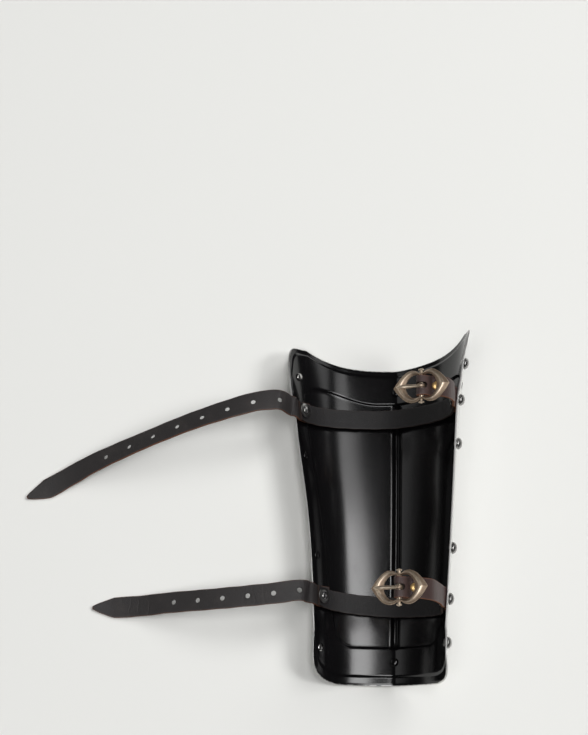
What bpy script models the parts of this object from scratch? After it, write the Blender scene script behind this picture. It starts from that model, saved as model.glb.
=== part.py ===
# One vambrace: a fluted steel forearm plate that lies on its back, hollow up, with two
# leather straps riveted inside it, two bands across the hollow and two cast brass buckles.
# Units are metres.  +X points from the strap side to the buckle side, +Y from the wrist
# to the elbow and +Z up.  The object stands on z = 0.

import math

import bmesh
import bpy
import numpy as np
from mathutils import Matrix, Vector

MM = 0.001
GAP = 0.3 * MM

# Where the assembly sits, and how the plate leans while it rests on its flank and rib.
ASSEMBLY_AT = (118.4 * MM, -130.1 * MM, 0.0)
PLATE_AT = (-1.1 * MM, 0.4 * MM, 9.77 * MM)
PLATE_ROLL = -22.5
PLATE_PITCH = 0.3
PLATE_YAW = 0.2

# The plate.  Angles run round the section from 0 at the ridge to 90 degrees at an edge.
PLATE_LENGTH = 259.6 * MM
PLATE_THICKNESS = 1.2 * MM
WRIST_HALF_WIDTH = 48.4 * MM
ELBOW_HALF_WIDTH = 68.1 * MM
WAIST_IN = 1.8 * MM
WRIST_DEPTH = 32.0 * MM
ELBOW_DEPTH = 48.6 * MM
WAIST_UP = 4.8 * MM
KEEL_DROP = 5.0 * MM
KEEL_HALF_WIDTH = 35.0 * MM
ELBOW_FLARE = 4.9 * MM
ELBOW_FLARE_START = 192.0 * MM
WRIST_FLARE = 0.8 * MM
WRIST_FLARE_LENGTH = 30.0 * MM
FLARE_AT_RIDGE = 0.05
# The section bows a little towards the strap side, and bulges there under the elbow strap.
BOW = 0.71 * MM
BOW_FROM = 142.7 * MM
BOW_UNIT = 100.0 * MM
BULGE = 3.6 * MM
BULGE_AT = 190.0 * MM
BULGE_REACH = 50.0 * MM
SCALLOP = 15.0 * MM
SCALLOP_ANGLE = 63.0
SCALLOP_POWER = 2.44
# Each rounded corner: how far it reaches in from the side edge, and how far along it.
WRIST_CORNER = dict(across=25.7 * MM, along=22.1 * MM)
ELBOW_CORNER = dict(across=14.8 * MM, along=40.7 * MM)

# The rib pressed along the ridge.
RIB_HEIGHT = 2.6 * MM
RIB_CREST = 1.4 * MM
RIB_HALF_WIDTH = 3.8 * MM
RIB_START = 25.5 * MM
RIB_END = 218.0 * MM
RIB_FADE = 3.5 * MM

# The raised panel between the wrist line and the waved elbow line.
PANEL_STEP = 1.2 * MM
STEP_WIDTH = 2.4 * MM
WRIST_LINE = 27.5 * MM
WRIST_LINE_TURN = 36.0
WRIST_LINE_RISE = 14.0 * MM
ELBOW_LINE = 217.3 * MM
ELBOW_WAVE = 11.0 * MM
ELBOW_WAVE_START = 12.0
ELBOW_WAVE_TOP = 58.0
ELBOW_LINE_DROP = 12.0 * MM
SIDE_LINE_WRIST = 50.0
SIDE_LINE_ELBOW = 72.0
SIDE_LINE_STEP = 2.6

# The stepped border round both ends: distance from the edge, and how far it steps out.
WRIST_BORDER = (
    dict(inset=0.0 * MM, out=1.2 * MM),
    dict(inset=1.5 * MM, out=1.0 * MM),
    dict(inset=5.6 * MM, out=0.8 * MM),
    dict(inset=7.2 * MM, out=0.0 * MM),
)
ELBOW_BORDER = (
    dict(inset=0.0 * MM, out=0.9 * MM),
    dict(inset=1.2 * MM, out=0.8 * MM),
    dict(inset=3.4 * MM, out=0.7 * MM),
    dict(inset=5.0 * MM, out=0.0 * MM),
)

BORDER_STRETCH = 2.2
LINE_CLEAR = 4.0 * MM

# Rivets: the stations along the plate, measured from the wrist edge.
RIVET_INSET = 7.6 * MM
SIDE_RIVETS = (
    dict(name="1", left=26.0 * MM, right=27.5 * MM, inset=7.6 * MM, strap=None),
    dict(name="2", left=63.8 * MM, right=58.8 * MM, inset=7.6 * MM, strap="wrist"),
    dict(name="3", left=95.0 * MM, right=95.8 * MM, inset=7.6 * MM, strap=None),
    dict(name="4", left=172.0 * MM, right=172.8 * MM, inset=7.6 * MM, strap=None),
    dict(name="5", left=206.5 * MM, right=205.5 * MM, inset=7.6 * MM, strap="elbow"),
    dict(name="6", left=235.5 * MM, right=234.0 * MM, inset=11.5 * MM, strap=None),
)
RIDGE_RIVETS = (
    dict(name="wrist", along=17.2 * MM),
    dict(name="elbow", along=227.0 * MM),
)
HEAD_RADIUS = 4.4 * MM
HEAD_HEIGHT = 3.0 * MM
SHANK_RADIUS = 1.6 * MM
PEEN_RADIUS = 2.9 * MM
PEEN_HEIGHT = 0.9 * MM
PEEN_SEAT = 0.5 * MM
HEAD_SEAT = 0.5 * MM
RIDGE_SEAT = 1.0 * MM
WASHER_RADIUS = 5.6 * MM
WASHER_THICKNESS = 0.8 * MM
WASHER_LIFT = 1.0 * MM
DRILL_LENGTH = 24.0 * MM
DOME_STEPS = (90.0, 60.0, 30.0, 0.0)

# Leather.
LEATHER = 1.8 * MM
BAND_WIDTH = 15.0 * MM
BAND_REACH = 5.8 * MM
BAND_STEPS = 32
LAYER_GAP = 0.45 * MM
# The middle line of each band, measured from the wrist edge: left end, ridge, right end.
BANDS = dict(
    elbow=dict(left=206.0 * MM, ridge=203.5 * MM, right=205.0 * MM),
    wrist=dict(left=64.0 * MM, ridge=57.2 * MM, right=55.8 * MM),
)
STRAP_WIDTH = 15.6 * MM
STRAP_TAIL = 8.0 * MM
# A strap's middle lies this far inside the wall: the gap, room for the facets and half the leather.
FACET_ROOM = 0.1 * MM
WALL_OFFSET = GAP + FACET_ROOM + LEATHER / 2
HOLE_RADIUS = 1.9 * MM
PUNCH_LENGTH = 9.0 * MM
PUNCH_SIDES = 10
TIP_ROUNDING = 0.8
TIP_LENGTH = 17.0 * MM
TIP_HALF_WIDTH = 1.0 * MM

# The route of each free strap: along X, Y and Z from the assembly's origin, and the
# tilt of its face about its own length, in degrees.
ELBOW_ROUTE = (
    dict(x=-90.6 * MM, y=209.0 * MM, z=39.6 * MM, tilt=0.0),
    dict(x=-99.3 * MM, y=209.0 * MM, z=40.4 * MM, tilt=2.0),
    dict(x=-117.5 * MM, y=205.5 * MM, z=39.5 * MM, tilt=8.0),
    dict(x=-155.5 * MM, y=193.5 * MM, z=33.5 * MM, tilt=20.0),
    dict(x=-194.5 * MM, y=179.0 * MM, z=23.5 * MM, tilt=24.0),
    dict(x=-232.0 * MM, y=164.0 * MM, z=11.0 * MM, tilt=14.0),
    dict(x=-252.5 * MM, y=153.5 * MM, z=4.6 * MM, tilt=6.0),
    dict(x=-271.0 * MM, y=143.0 * MM, z=1.2 * MM, tilt=0.0),
    dict(x=-286.5 * MM, y=135.5 * MM, z=1.1 * MM, tilt=0.0),
)
WRIST_ROUTE = (
    dict(x=-69.5 * MM, y=65.5 * MM, z=30.3 * MM, tilt=0.0),
    dict(x=-77.0 * MM, y=65.0 * MM, z=31.5 * MM, tilt=0.0),
    dict(x=-92.5 * MM, y=62.5 * MM, z=31.0 * MM, tilt=0.0),
    dict(x=-131.5 * MM, y=58.5 * MM, z=24.5 * MM, tilt=2.0),
    dict(x=-169.5 * MM, y=56.0 * MM, z=12.5 * MM, tilt=3.0),
    dict(x=-191.5 * MM, y=54.0 * MM, z=5.0 * MM, tilt=2.0),
    dict(x=-213.0 * MM, y=52.5 * MM, z=1.25 * MM, tilt=0.0),
    dict(x=-229.5 * MM, y=52.0 * MM, z=1.15 * MM, tilt=0.0),
)
# How a strap climbs over the plate's edge: up from the edge and out from the wall.
OVER_EDGE = (
    dict(up=0.0 * MM, out=-0.2 * MM, share=0.2),
    dict(up=3.6 * MM, out=0.3 * MM, share=0.45),
    dict(up=6.8 * MM, out=3.0 * MM, share=0.75),
)
HOLES = dict(
    elbow=dict(count=8, first=21.5 * MM, pitch=20.6 * MM),
    wrist=dict(count=6, first=17.0 * MM, pitch=19.4 * MM),
)

# Buckles, in the plate's section: the bar's place, the fold's lean and the strap's route
# from the fold down to the plate's edge.
BUCKLES = dict(
    elbow=dict(bar=(49.2 * MM, 85.6 * MM), drift=-2.6 * MM, fold=-31.0, slope=6.0,
               route=((62.6 * MM, 77.2 * MM), (65.4 * MM, 70.0 * MM), (64.8 * MM, 58.0 * MM))),
    wrist=dict(bar=(30.6 * MM, 78.5 * MM), drift=1.0 * MM, fold=-29.0, slope=7.0,
               route=((45.9 * MM, 70.8 * MM), (50.4 * MM, 63.5 * MM), (50.7 * MM, 50.0 * MM))),
)
BAR_RADIUS = 1.5 * MM
FRAME_THICKNESS = 3.4 * MM
# One quarter of the frame: a row for each section from the point to the waist.
FRAME_OUTLINE = (
    dict(outer_x=21.6 * MM, outer_y=0.0 * MM, inner_x=12.4 * MM, inner_y=0.0 * MM, ridge=1.0),
    dict(outer_x=19.5 * MM, outer_y=3.1 * MM, inner_x=12.0 * MM, inner_y=2.4 * MM, ridge=0.9),
    dict(outer_x=16.6 * MM, outer_y=6.6 * MM, inner_x=10.8 * MM, inner_y=5.0 * MM, ridge=0.7),
    dict(outer_x=13.0 * MM, outer_y=9.9 * MM, inner_x=8.8 * MM, inner_y=7.2 * MM, ridge=0.5),
    dict(outer_x=8.8 * MM, outer_y=11.8 * MM, inner_x=6.3 * MM, inner_y=8.6 * MM, ridge=0.4),
    dict(outer_x=4.8 * MM, outer_y=11.6 * MM, inner_x=3.6 * MM, inner_y=8.7 * MM, ridge=0.4),
    dict(outer_x=1.9 * MM, outer_y=10.1 * MM, inner_x=1.6 * MM, inner_y=8.2 * MM, ridge=0.4),
    dict(outer_x=0.0 * MM, outer_y=9.8 * MM, inner_x=0.0 * MM, inner_y=7.9 * MM, ridge=0.4),
)
# The frame's section, going round it: the share of the way from the outer side to the
# inner side, and the height as a share of half the thickness, plain and at the point.
FRAME_SECTION = (
    dict(across=0.0, height=-0.6, at_point=0.0),
    dict(across=0.0, height=0.3, at_point=0.0),
    dict(across=0.5, height=0.75, at_point=0.5),
    dict(across=1.0, height=0.35, at_point=0.0),
    dict(across=1.0, height=-0.7, at_point=0.0),
    dict(across=0.5, height=-1.0, at_point=0.0),
)
BAR_INSET = 0.8 * MM
# The lugs at the waist: the stem, then the fork across its end.
LUGS = (
    dict(name="stem", width=1.8 * MM, length=3.2 * MM, height=1.8 * MM, out=0.8 * MM),
    dict(name="fork", width=4.3 * MM, length=1.2 * MM, height=1.6 * MM, out=2.24 * MM),
)
FOLD_PLAY = 0.5 * MM
FOLD_BEND = (35.0, 90.0, 145.0)
STRAP_KINK = 4.0 * MM
FOLD_WIDTH = 14.8 * MM
FOLD_RIVET = 10.5 * MM
FOLD_TAIL = 14.2 * MM
FOLD_OPENS = 2.4 * MM
FOLD_CLOSES = 7.2 * MM
SLOT_WIDTH = 4.4 * MM
SLOT_REACH = 3.6 * MM
SLOT_BACK = 7.0 * MM
SLOT_HEIGHT = 16.0 * MM
# The small rivet through the fold.
STUD_RADIUS = 3.2 * MM
STUD_HEIGHT = 1.7 * MM
STUD_SHANK = 1.2 * MM
STUD_PEEN = 2.4 * MM
STUD_PEEN_HEIGHT = 0.8 * MM
STUD_DOME_STEPS = (90.0, 55.0, 20.0)
# The tongue: reach from the bar, height of its middle line, half width, half thickness.
TONGUE_HUB = 2.9 * MM
TONGUE_WIDTH = 2.8 * MM
TONGUE_SIDES = 8
TONGUE = (
    dict(reach=0.0 * MM, height=0.6 * MM, half=1.25 * MM, thick=1.2 * MM),
    dict(reach=5.0 * MM, height=1.3 * MM, half=1.3 * MM, thick=1.1 * MM),
    dict(reach=10.0 * MM, height=2.3 * MM, half=1.5 * MM, thick=1.0 * MM),
    dict(reach=14.0 * MM, height=3.25 * MM, half=1.4 * MM, thick=0.9 * MM),
    dict(reach=18.5 * MM, height=3.1 * MM, half=0.5 * MM, thick=0.4 * MM),
)

# How finely the turned pieces and the sheets are divided.
ROUND = 9
WASHER_SIDES = 16
HUB_SIDES = 16
FRAME_STEPS = 2
PANEL_COLUMNS = 7
FLANGE_COLUMNS = 5
FLANGE_CROWDING = 1.3
BODY_ROWS = 6
CUFF_ROWS = 2
STRAP_STEPS = 3


def material(name, colour, roughness, metallic):
    made = bpy.data.materials.new(name)
    made.use_nodes = True
    shader = made.node_tree.nodes["Principled BSDF"]
    shader.inputs["Base Color"].default_value = (*colour, 1.0)
    shader.inputs["Roughness"].default_value = roughness
    shader.inputs["Metallic"].default_value = metallic
    return made


def put(obj, parent=None, look=None, smooth_below=35.0):
    if obj.name not in parts.objects:
        parts.objects.link(obj)
    if parent is not None:
        obj.parent = parent
    if look is not None:
        obj.data.materials.clear()
        obj.data.materials.append(look)
        obj.data.shade_smooth()
        obj.data.set_sharp_from_angle(angle=math.radians(smooth_below))
    return obj


def mesh_object(name, points, faces):
    mesh = bpy.data.meshes.new(name)
    mesh.from_pydata([tuple(p) for p in points], [], faces)
    work = bmesh.new()
    work.from_mesh(mesh)
    bmesh.ops.recalc_face_normals(work, faces=work.faces)
    work.to_mesh(mesh)
    work.free()
    return bpy.data.objects.new(name, mesh)


def cutter(obj, parent=None):
    cutters.objects.link(obj)
    obj.hide_render = True
    obj.display_type = "WIRE"
    if parent is not None:
        obj.parent = parent
    return obj


def boolean(obj, tool, operation):
    step = obj.modifiers.new(operation.title(), "BOOLEAN")
    step.operation = operation
    step.object = tool
    return step


def turned(name, profile, steps=ROUND, ring=False):
    # profile: (radius, height) pairs down the outer side; a ring closes on its first pair
    mesh = bpy.data.meshes.new(name)
    points = [(radius, 0.0, height) for radius, height in profile]
    edges = [(i, i + 1) for i in range(len(points) - 1)]
    if ring:
        edges.append((len(points) - 1, 0))
    mesh.from_pydata(points, edges, [])
    obj = bpy.data.objects.new(name, mesh)
    screw = obj.modifiers.new("Screw", "SCREW")
    screw.steps = steps
    screw.render_steps = steps
    screw.use_merge_vertices = True
    screw.merge_threshold = 0.00001
    return obj


def cylinder(name, radius, length, place, steps=ROUND):
    mesh = bpy.data.meshes.new(name)
    work = bmesh.new()
    bmesh.ops.create_cone(work, cap_ends=True, segments=steps, radius1=radius,
                          radius2=radius, depth=length)
    work.to_mesh(mesh)
    work.free()
    obj = bpy.data.objects.new(name, mesh)
    obj.matrix_world = place
    return obj


def box(name, size, place):
    mesh = bpy.data.meshes.new(name)
    work = bmesh.new()
    bmesh.ops.create_cube(work, size=1.0)
    bmesh.ops.scale(work, vec=Vector(size), verts=work.verts)
    work.to_mesh(mesh)
    work.free()
    obj = bpy.data.objects.new(name, mesh)
    obj.matrix_world = place
    return obj


def frame_at(point, z_axis, x_axis):
    # a placing matrix whose Z follows z_axis and whose X lies nearest x_axis
    z = Vector(z_axis).normalized()
    y = z.cross(Vector(x_axis)).normalized()
    x = y.cross(z)
    turn = Matrix((x, y, z)).transposed().to_4x4()
    return Matrix.Translation(Vector(point)) @ turn


def ramp(value):
    value = np.clip(value, 0.0, 1.0)
    return value * value * (3.0 - 2.0 * value)


def spline(points, per_span):
    # a Catmull-Rom curve through the points, per_span steps to each span
    points = np.asarray(points, float)
    ends = np.vstack([2 * points[0] - points[1], points, 2 * points[-1] - points[-2]])
    t = np.linspace(0.0, 1.0, per_span, endpoint=False)[:, None]
    out = []
    for a, b, c, d in zip(ends[:-3], ends[1:-2], ends[2:-1], ends[3:]):
        out.append(0.5 * (2 * b + (c - a) * t + (2 * a - 5 * b + 4 * c - d) * t ** 2
                          + (3 * b - a - 3 * c + d) * t ** 3))
    out.append(points[-1:])
    return np.vstack(out)


def wall_size(along):
    # half width and depth grow from wrist to elbow, drawn in a little at the waist
    share = along / PLATE_LENGTH
    waist = 4.0 * share * (1.0 - share)
    half = WRIST_HALF_WIDTH + (ELBOW_HALF_WIDTH - WRIST_HALF_WIDTH) * share - WAIST_IN * waist
    deep = WRIST_DEPTH + (ELBOW_DEPTH - WRIST_DEPTH) * share - WAIST_UP * waist
    return half, deep


def wall(angle, along, out=0.0):
    # the plate's inner face: an ellipse dropped to a keel at the ridge and flared at
    # both ends; out moves the point off it along the section's normal
    half, deep = wall_size(along)
    side = np.sin(angle)
    x = half * side
    z = deep * (1.0 - np.cos(angle))
    normal_x = side / half
    normal_z = -np.cos(angle) / deep
    size = np.hypot(normal_x, normal_z)
    elbow = np.clip((along - ELBOW_FLARE_START) / (PLATE_LENGTH - ELBOW_FLARE_START), 0.0, 2.0)
    wrist = np.clip(1.0 - along / WRIST_FLARE_LENGTH, 0.0, 2.0)
    flare = ELBOW_FLARE * elbow ** 1.4 + WRIST_FLARE * wrist ** 2
    grow = out + flare * (FLARE_AT_RIDGE + (1.0 - FLARE_AT_RIDGE) * side ** 2)
    keel = KEEL_DROP * np.clip(1.0 - np.abs(x) / KEEL_HALF_WIDTH, 0.0, 1.0) ** 2
    bulge = BULGE * np.exp(-((along - BULGE_AT) / BULGE_REACH) ** 2)
    shift = bulge * np.minimum(side, 0.0) ** 2 + BOW * ((along - BOW_FROM) / BOW_UNIT) ** 2
    return x + normal_x / size * grow - shift, z + normal_z / size * grow - keel


def wall_point(angle, along, out=0.0):
    x, z = wall(angle, along, out)
    return Vector((float(x), float(along), float(z)))


def wall_frame(angle, along):
    # the wall's outward normal and its two tangents, round and along the plate
    small = 1e-5
    across = wall_point(angle + small, along) - wall_point(angle - small, along)
    lengthwise = wall_point(angle, along + small) - wall_point(angle, along - small)
    across.normalize()
    lengthwise.normalize()
    normal = lengthwise.cross(across)
    if normal.dot(Vector((math.sin(angle), 0.0, -math.cos(angle)))) < 0.0:
        normal.negate()
    return normal.normalized(), across, lengthwise


def rivet_angle(along, inset=RIVET_INSET):
    return math.acos(inset / wall_size(along)[1])


def corner_drop(angle, along, corner):
    # how far a rounded corner draws the end edge back, close to the side edge, and how
    # much longer the border gets there along the plate, to keep its width square to the edge
    inset = wall_size(along)[1] * (math.pi / 2 - angle)
    bite = np.clip(1.0 - inset / corner["across"], 0.0, 1.0)
    rest = np.sqrt(1.0 - bite ** 2)
    slope = corner["along"] / corner["across"] * bite / np.maximum(rest, 0.1)
    return corner["along"] * (1.0 - rest), np.minimum(np.hypot(1.0, slope), BORDER_STRETCH)


def wrist_edge(angle):
    return corner_drop(angle, 0.0, WRIST_CORNER)


def elbow_edge(angle):
    share = np.clip(np.degrees(angle) / SCALLOP_ANGLE, 0.0, 1.0)
    drop, stretch = corner_drop(angle, PLATE_LENGTH, ELBOW_CORNER)
    return PLATE_LENGTH - SCALLOP * (1.0 - share ** SCALLOP_POWER) - drop, stretch


def wrist_line(angle):
    span = SIDE_LINE_WRIST - WRIST_LINE_TURN
    turn = np.clip((np.degrees(angle) - WRIST_LINE_TURN) / span, 0.0, 1.0)
    return WRIST_LINE + WRIST_LINE_RISE * (1.0 - np.sqrt(1.0 - turn ** 2))


def elbow_line(angle):
    degrees = np.degrees(angle)
    wave = np.clip((degrees - ELBOW_WAVE_START) / (ELBOW_WAVE_TOP - ELBOW_WAVE_START), 0.0, 1.0)
    turn = np.clip((degrees - ELBOW_WAVE_TOP) / (SIDE_LINE_ELBOW - ELBOW_WAVE_TOP), 0.0, 1.0)
    rise = ELBOW_WAVE * 0.5 * (1.0 - np.cos(math.pi * wave))
    return ELBOW_LINE + rise - ELBOW_LINE_DROP * (1.0 - np.sqrt(1.0 - turn ** 2))


def side_line(along):
    share = np.clip((along - WRIST_LINE) / (ELBOW_LINE - WRIST_LINE), 0.0, 1.0)
    return SIDE_LINE_WRIST + (SIDE_LINE_ELBOW - SIDE_LINE_WRIST) * share ** 0.6


def column_angles(along):
    # one half of the section, from the ridge out to the edge, in radians
    half = wall_size(along)[0]
    side = side_line(along)
    rib = [0.0, math.asin(RIB_CREST / half), math.asin(RIB_HALF_WIDTH / half)]
    inner = np.linspace(rib[-1], math.radians(side - SIDE_LINE_STEP / 2), PANEL_COLUMNS + 1)[1:]
    share = 1.0 - (1.0 - np.linspace(0.0, 1.0, FLANGE_COLUMNS + 1)) ** FLANGE_CROWDING
    first = math.radians(side + SIDE_LINE_STEP / 2)
    return np.concatenate([rib, inner, first + (math.pi / 2 - first) * share])


def column_rows(column):
    # where one column crosses each line of the plate, and whether it lies in the panel
    at_wrist = column_angles(0.0)[column]
    at_wrist_line = column_angles(WRIST_LINE)[column]
    at_elbow_line = column_angles(ELBOW_LINE)[column]
    at_elbow = column_angles(PLATE_LENGTH)[column]
    start, wrist_stretch = wrist_edge(at_wrist)
    end, elbow_stretch = elbow_edge(at_elbow)
    first = start + WRIST_BORDER[-1]["inset"] * wrist_stretch
    last = end - ELBOW_BORDER[-1]["inset"] * elbow_stretch
    low = max(wrist_line(at_wrist_line), first + LINE_CLEAR)
    high = min(elbow_line(at_elbow_line), last - LINE_CLEAR)
    rows = [(start + row["inset"] * wrist_stretch, row["out"], 0.0) for row in WRIST_BORDER]
    cuff = np.linspace(rows[-1][0], low - STEP_WIDTH / 2, CUFF_ROWS + 1)[1:]
    rows += [(along, 0.0, 0.0) for along in cuff]
    body = np.linspace(low + STEP_WIDTH / 2, high - STEP_WIDTH / 2, BODY_ROWS + 1)
    rows += [(along, 0.0, 1.0) for along in body]
    cuff = np.linspace(high + STEP_WIDTH / 2, last, CUFF_ROWS + 1)[:-1]
    rows += [(along, 0.0, 0.0) for along in cuff]
    rows += [(end - row["inset"] * elbow_stretch, row["out"], 0.0)
             for row in reversed(ELBOW_BORDER)]
    return rows


def make_plate():
    count = len(column_angles(0.0))
    inside_panel = count - FLANGE_COLUMNS - 1
    half = []
    for column in range(count):
        line = []
        for along, border, in_panel in column_rows(column):
            angle = column_angles(along)[column]
            rib = 0.0
            if column < 2:
                fade = min(along - RIB_START, RIB_END - along) / RIB_FADE
                rib = RIB_HEIGHT * (1.0, 0.85)[column] * float(ramp(fade))
            out = border + rib
            if column < inside_panel:
                out += PANEL_STEP * in_panel
            line.append((angle, along, out))
        half.append(line)
    columns = [[(-a, y, o) for a, y, o in line] for line in reversed(half[1:])] + half
    points = [wall_point(a, y, o) for line in columns for a, y, o in line]
    rows = len(columns[0])
    faces = []
    for c in range(len(columns) - 1):
        for r in range(rows - 1):
            corner = c * rows + r
            faces.append((corner, corner + 1, corner + rows + 1, corner + rows))
    mesh = bpy.data.meshes.new("plate")
    mesh.from_pydata([tuple(p) for p in points], [], faces)
    plate = bpy.data.objects.new("plate", mesh)
    if mesh.polygons[0].normal.dot(Vector((-1.0, 0.0, 0.0))) < 0.0:
        mesh.flip_normals()
    solid = plate.modifiers.new("Solidify", "SOLIDIFY")
    solid.thickness = PLATE_THICKNESS
    solid.offset = 1.0
    solid.use_even_offset = True
    return plate


def rivet_profile(stack):
    # a domed head outside, a shank through the wall and a peened end inside; z = 0 is
    # the wall's inner face and +z points out of it
    seat = PLATE_THICKNESS + HEAD_SEAT
    dome = []
    for degrees in DOME_STEPS:
        turn = math.radians(degrees)
        dome.append((HEAD_RADIUS * math.cos(turn), seat + HEAD_HEIGHT * math.sin(turn)))
    dome[0] = (0.0, dome[0][1])
    return dome + [
        (SHANK_RADIUS, seat),
        (SHANK_RADIUS, -stack),
        (PEEN_RADIUS, -stack),
        (PEEN_RADIUS * 0.8, -stack - PEEN_HEIGHT),
        (0.0, -stack - PEEN_HEIGHT),
    ]


def make_rivets(lean):
    under_washer = GAP + LEATHER + LAYER_GAP + LEATHER + WASHER_LIFT
    strapped = under_washer + WASHER_THICKNESS + GAP
    places = []
    for row in SIDE_RIVETS:
        for side, sign in (("left", -1.0), ("right", 1.0)):
            along = row[side]
            stack = strapped if row["strap"] else PEEN_SEAT
            angle = sign * rivet_angle(along, row["inset"])
            places.append((f"rivet_{side}_{row['name']}", angle, along, stack))
    for row in RIDGE_RIVETS:
        places.append((f"rivet_ridge_{row['name']}", 0.0, row["along"], RIDGE_SEAT))
    shanks = []
    for name, angle, along, stack in places:
        normal, across, lengthwise = wall_frame(angle, along)
        if angle == 0.0:
            normal = Vector((0.0, 0.0, -1.0))
        place = frame_at(wall_point(angle, along), normal, lengthwise)
        rivet = turned(name, rivet_profile(stack))
        rivet.matrix_world = place
        put(rivet, lean, STEEL)
        shanks.append(cylinder("hole_" + name, SHANK_RADIUS + GAP, DRILL_LENGTH, place))
        if stack == strapped:
            inner = -under_washer
            washer = turned("washer_" + name[6:], (
                (SHANK_RADIUS + GAP, inner),
                (WASHER_RADIUS, inner),
                (WASHER_RADIUS, inner - WASHER_THICKNESS),
                (SHANK_RADIUS + GAP, inner - WASHER_THICKNESS),
            ), WASHER_SIDES, ring=True)
            washer.matrix_world = place
            put(washer, lean, STEEL)
    return join_cutters("rivet_holes", shanks, lean)


def join_cutters(name, objects, parent):
    work = bmesh.new()
    for obj in objects:
        obj.data.transform(obj.matrix_world)
        work.from_mesh(obj.data)
    mesh = bpy.data.meshes.new(name)
    work.to_mesh(mesh)
    work.free()
    for obj in objects:
        bpy.data.objects.remove(obj)
    return cutter(bpy.data.objects.new(name, mesh), parent)


def tube_faces(spans, sides):
    # the faces of a capped tube whose rings of corners follow one another
    faces = []
    for i in range(spans):
        for k in range(sides):
            a = sides * i + k
            b = sides * i + (k + 1) % sides
            faces.append((a, b, b + sides, a + sides))
    faces.append(tuple(range(sides)))
    faces.append(tuple(sides * spans + k for k in reversed(range(sides))))
    return faces


def ribbon(name, centres, sides, halves, thickness):
    # a strip whose section is a rectangle: sides are unit vectors across its width
    centres = np.asarray(centres, float)
    sides = np.asarray(sides, float)
    tangents = np.gradient(centres, axis=0)
    tangents /= np.linalg.norm(tangents, axis=1)[:, None]
    sides = sides - tangents * (sides * tangents).sum(1)[:, None]
    sides /= np.linalg.norm(sides, axis=1)[:, None]
    normals = np.cross(sides, tangents)
    halves = np.asarray(halves, float)[:, None]
    lift = normals * thickness / 2
    ring = (centres - sides * halves - lift, centres + sides * halves - lift,
            centres + sides * halves + lift, centres - sides * halves + lift)
    points = np.stack(ring, 1).reshape(-1, 3)
    return mesh_object(name, points, tube_faces(len(centres) - 1, 4))


def arc_angle(along, start, distance):
    # the angle reached by going a distance round the wall from a starting angle
    half, deep = wall_size(along)
    return start + distance / math.hypot(half * math.cos(start), deep * math.sin(start))


def make_band(name, row, line):
    # a band lies on the straps' inner ends and follows the wall from rivet to rivet
    left = -arc_angle(row["left"], rivet_angle(row["left"]), BAND_REACH)
    right = arc_angle(row["right"], rivet_angle(row["right"]), BAND_REACH)
    angles = np.linspace(left, right, BAND_STEPS + 1)
    share = np.linspace(0.0, 1.0, BAND_STEPS + 1)
    sag = line["ridge"] - (line["left"] + line["right"]) / 2
    centre = line["left"] + (line["right"] - line["left"]) * share
    centre = centre + sag * 4.0 * share * (1.0 - share)
    lift = GAP + LEATHER + LAYER_GAP
    corners = ((-1, lift), (1, lift), (1, lift + LEATHER), (-1, lift + LEATHER))
    points = []
    for angle, along in zip(angles, centre):
        points += [wall_point(angle, along + side * BAND_WIDTH / 2, -deep) for side, deep in corners]
    return mesh_object(name, points, tube_faces(BAND_STEPS, 4))


def root_run(along, sign):
    # the stretch of a strap that lies on the wall, from its hidden end past the rivet
    angle = rivet_angle(along)
    points = []
    for distance in (-STRAP_TAIL, -STRAP_TAIL / 2, 0.0, RIVET_INSET / 2):
        turn = arc_angle(along, angle, distance)
        points.append(wall_point(sign * turn, along, -WALL_OFFSET))
    return points


def over_edge(along, target):
    # the bend over the left edge, drifting along the plate towards the free run
    edge = wall_point(-math.pi / 2, along, -WALL_OFFSET)
    points = []
    for row in OVER_EDGE:
        drift = (target - along) * row["share"]
        points.append(edge + Vector((-row["out"], drift, row["up"])))
    return points


def unit_rows(rows):
    return rows / np.linalg.norm(rows, axis=1)[:, None]


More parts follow.
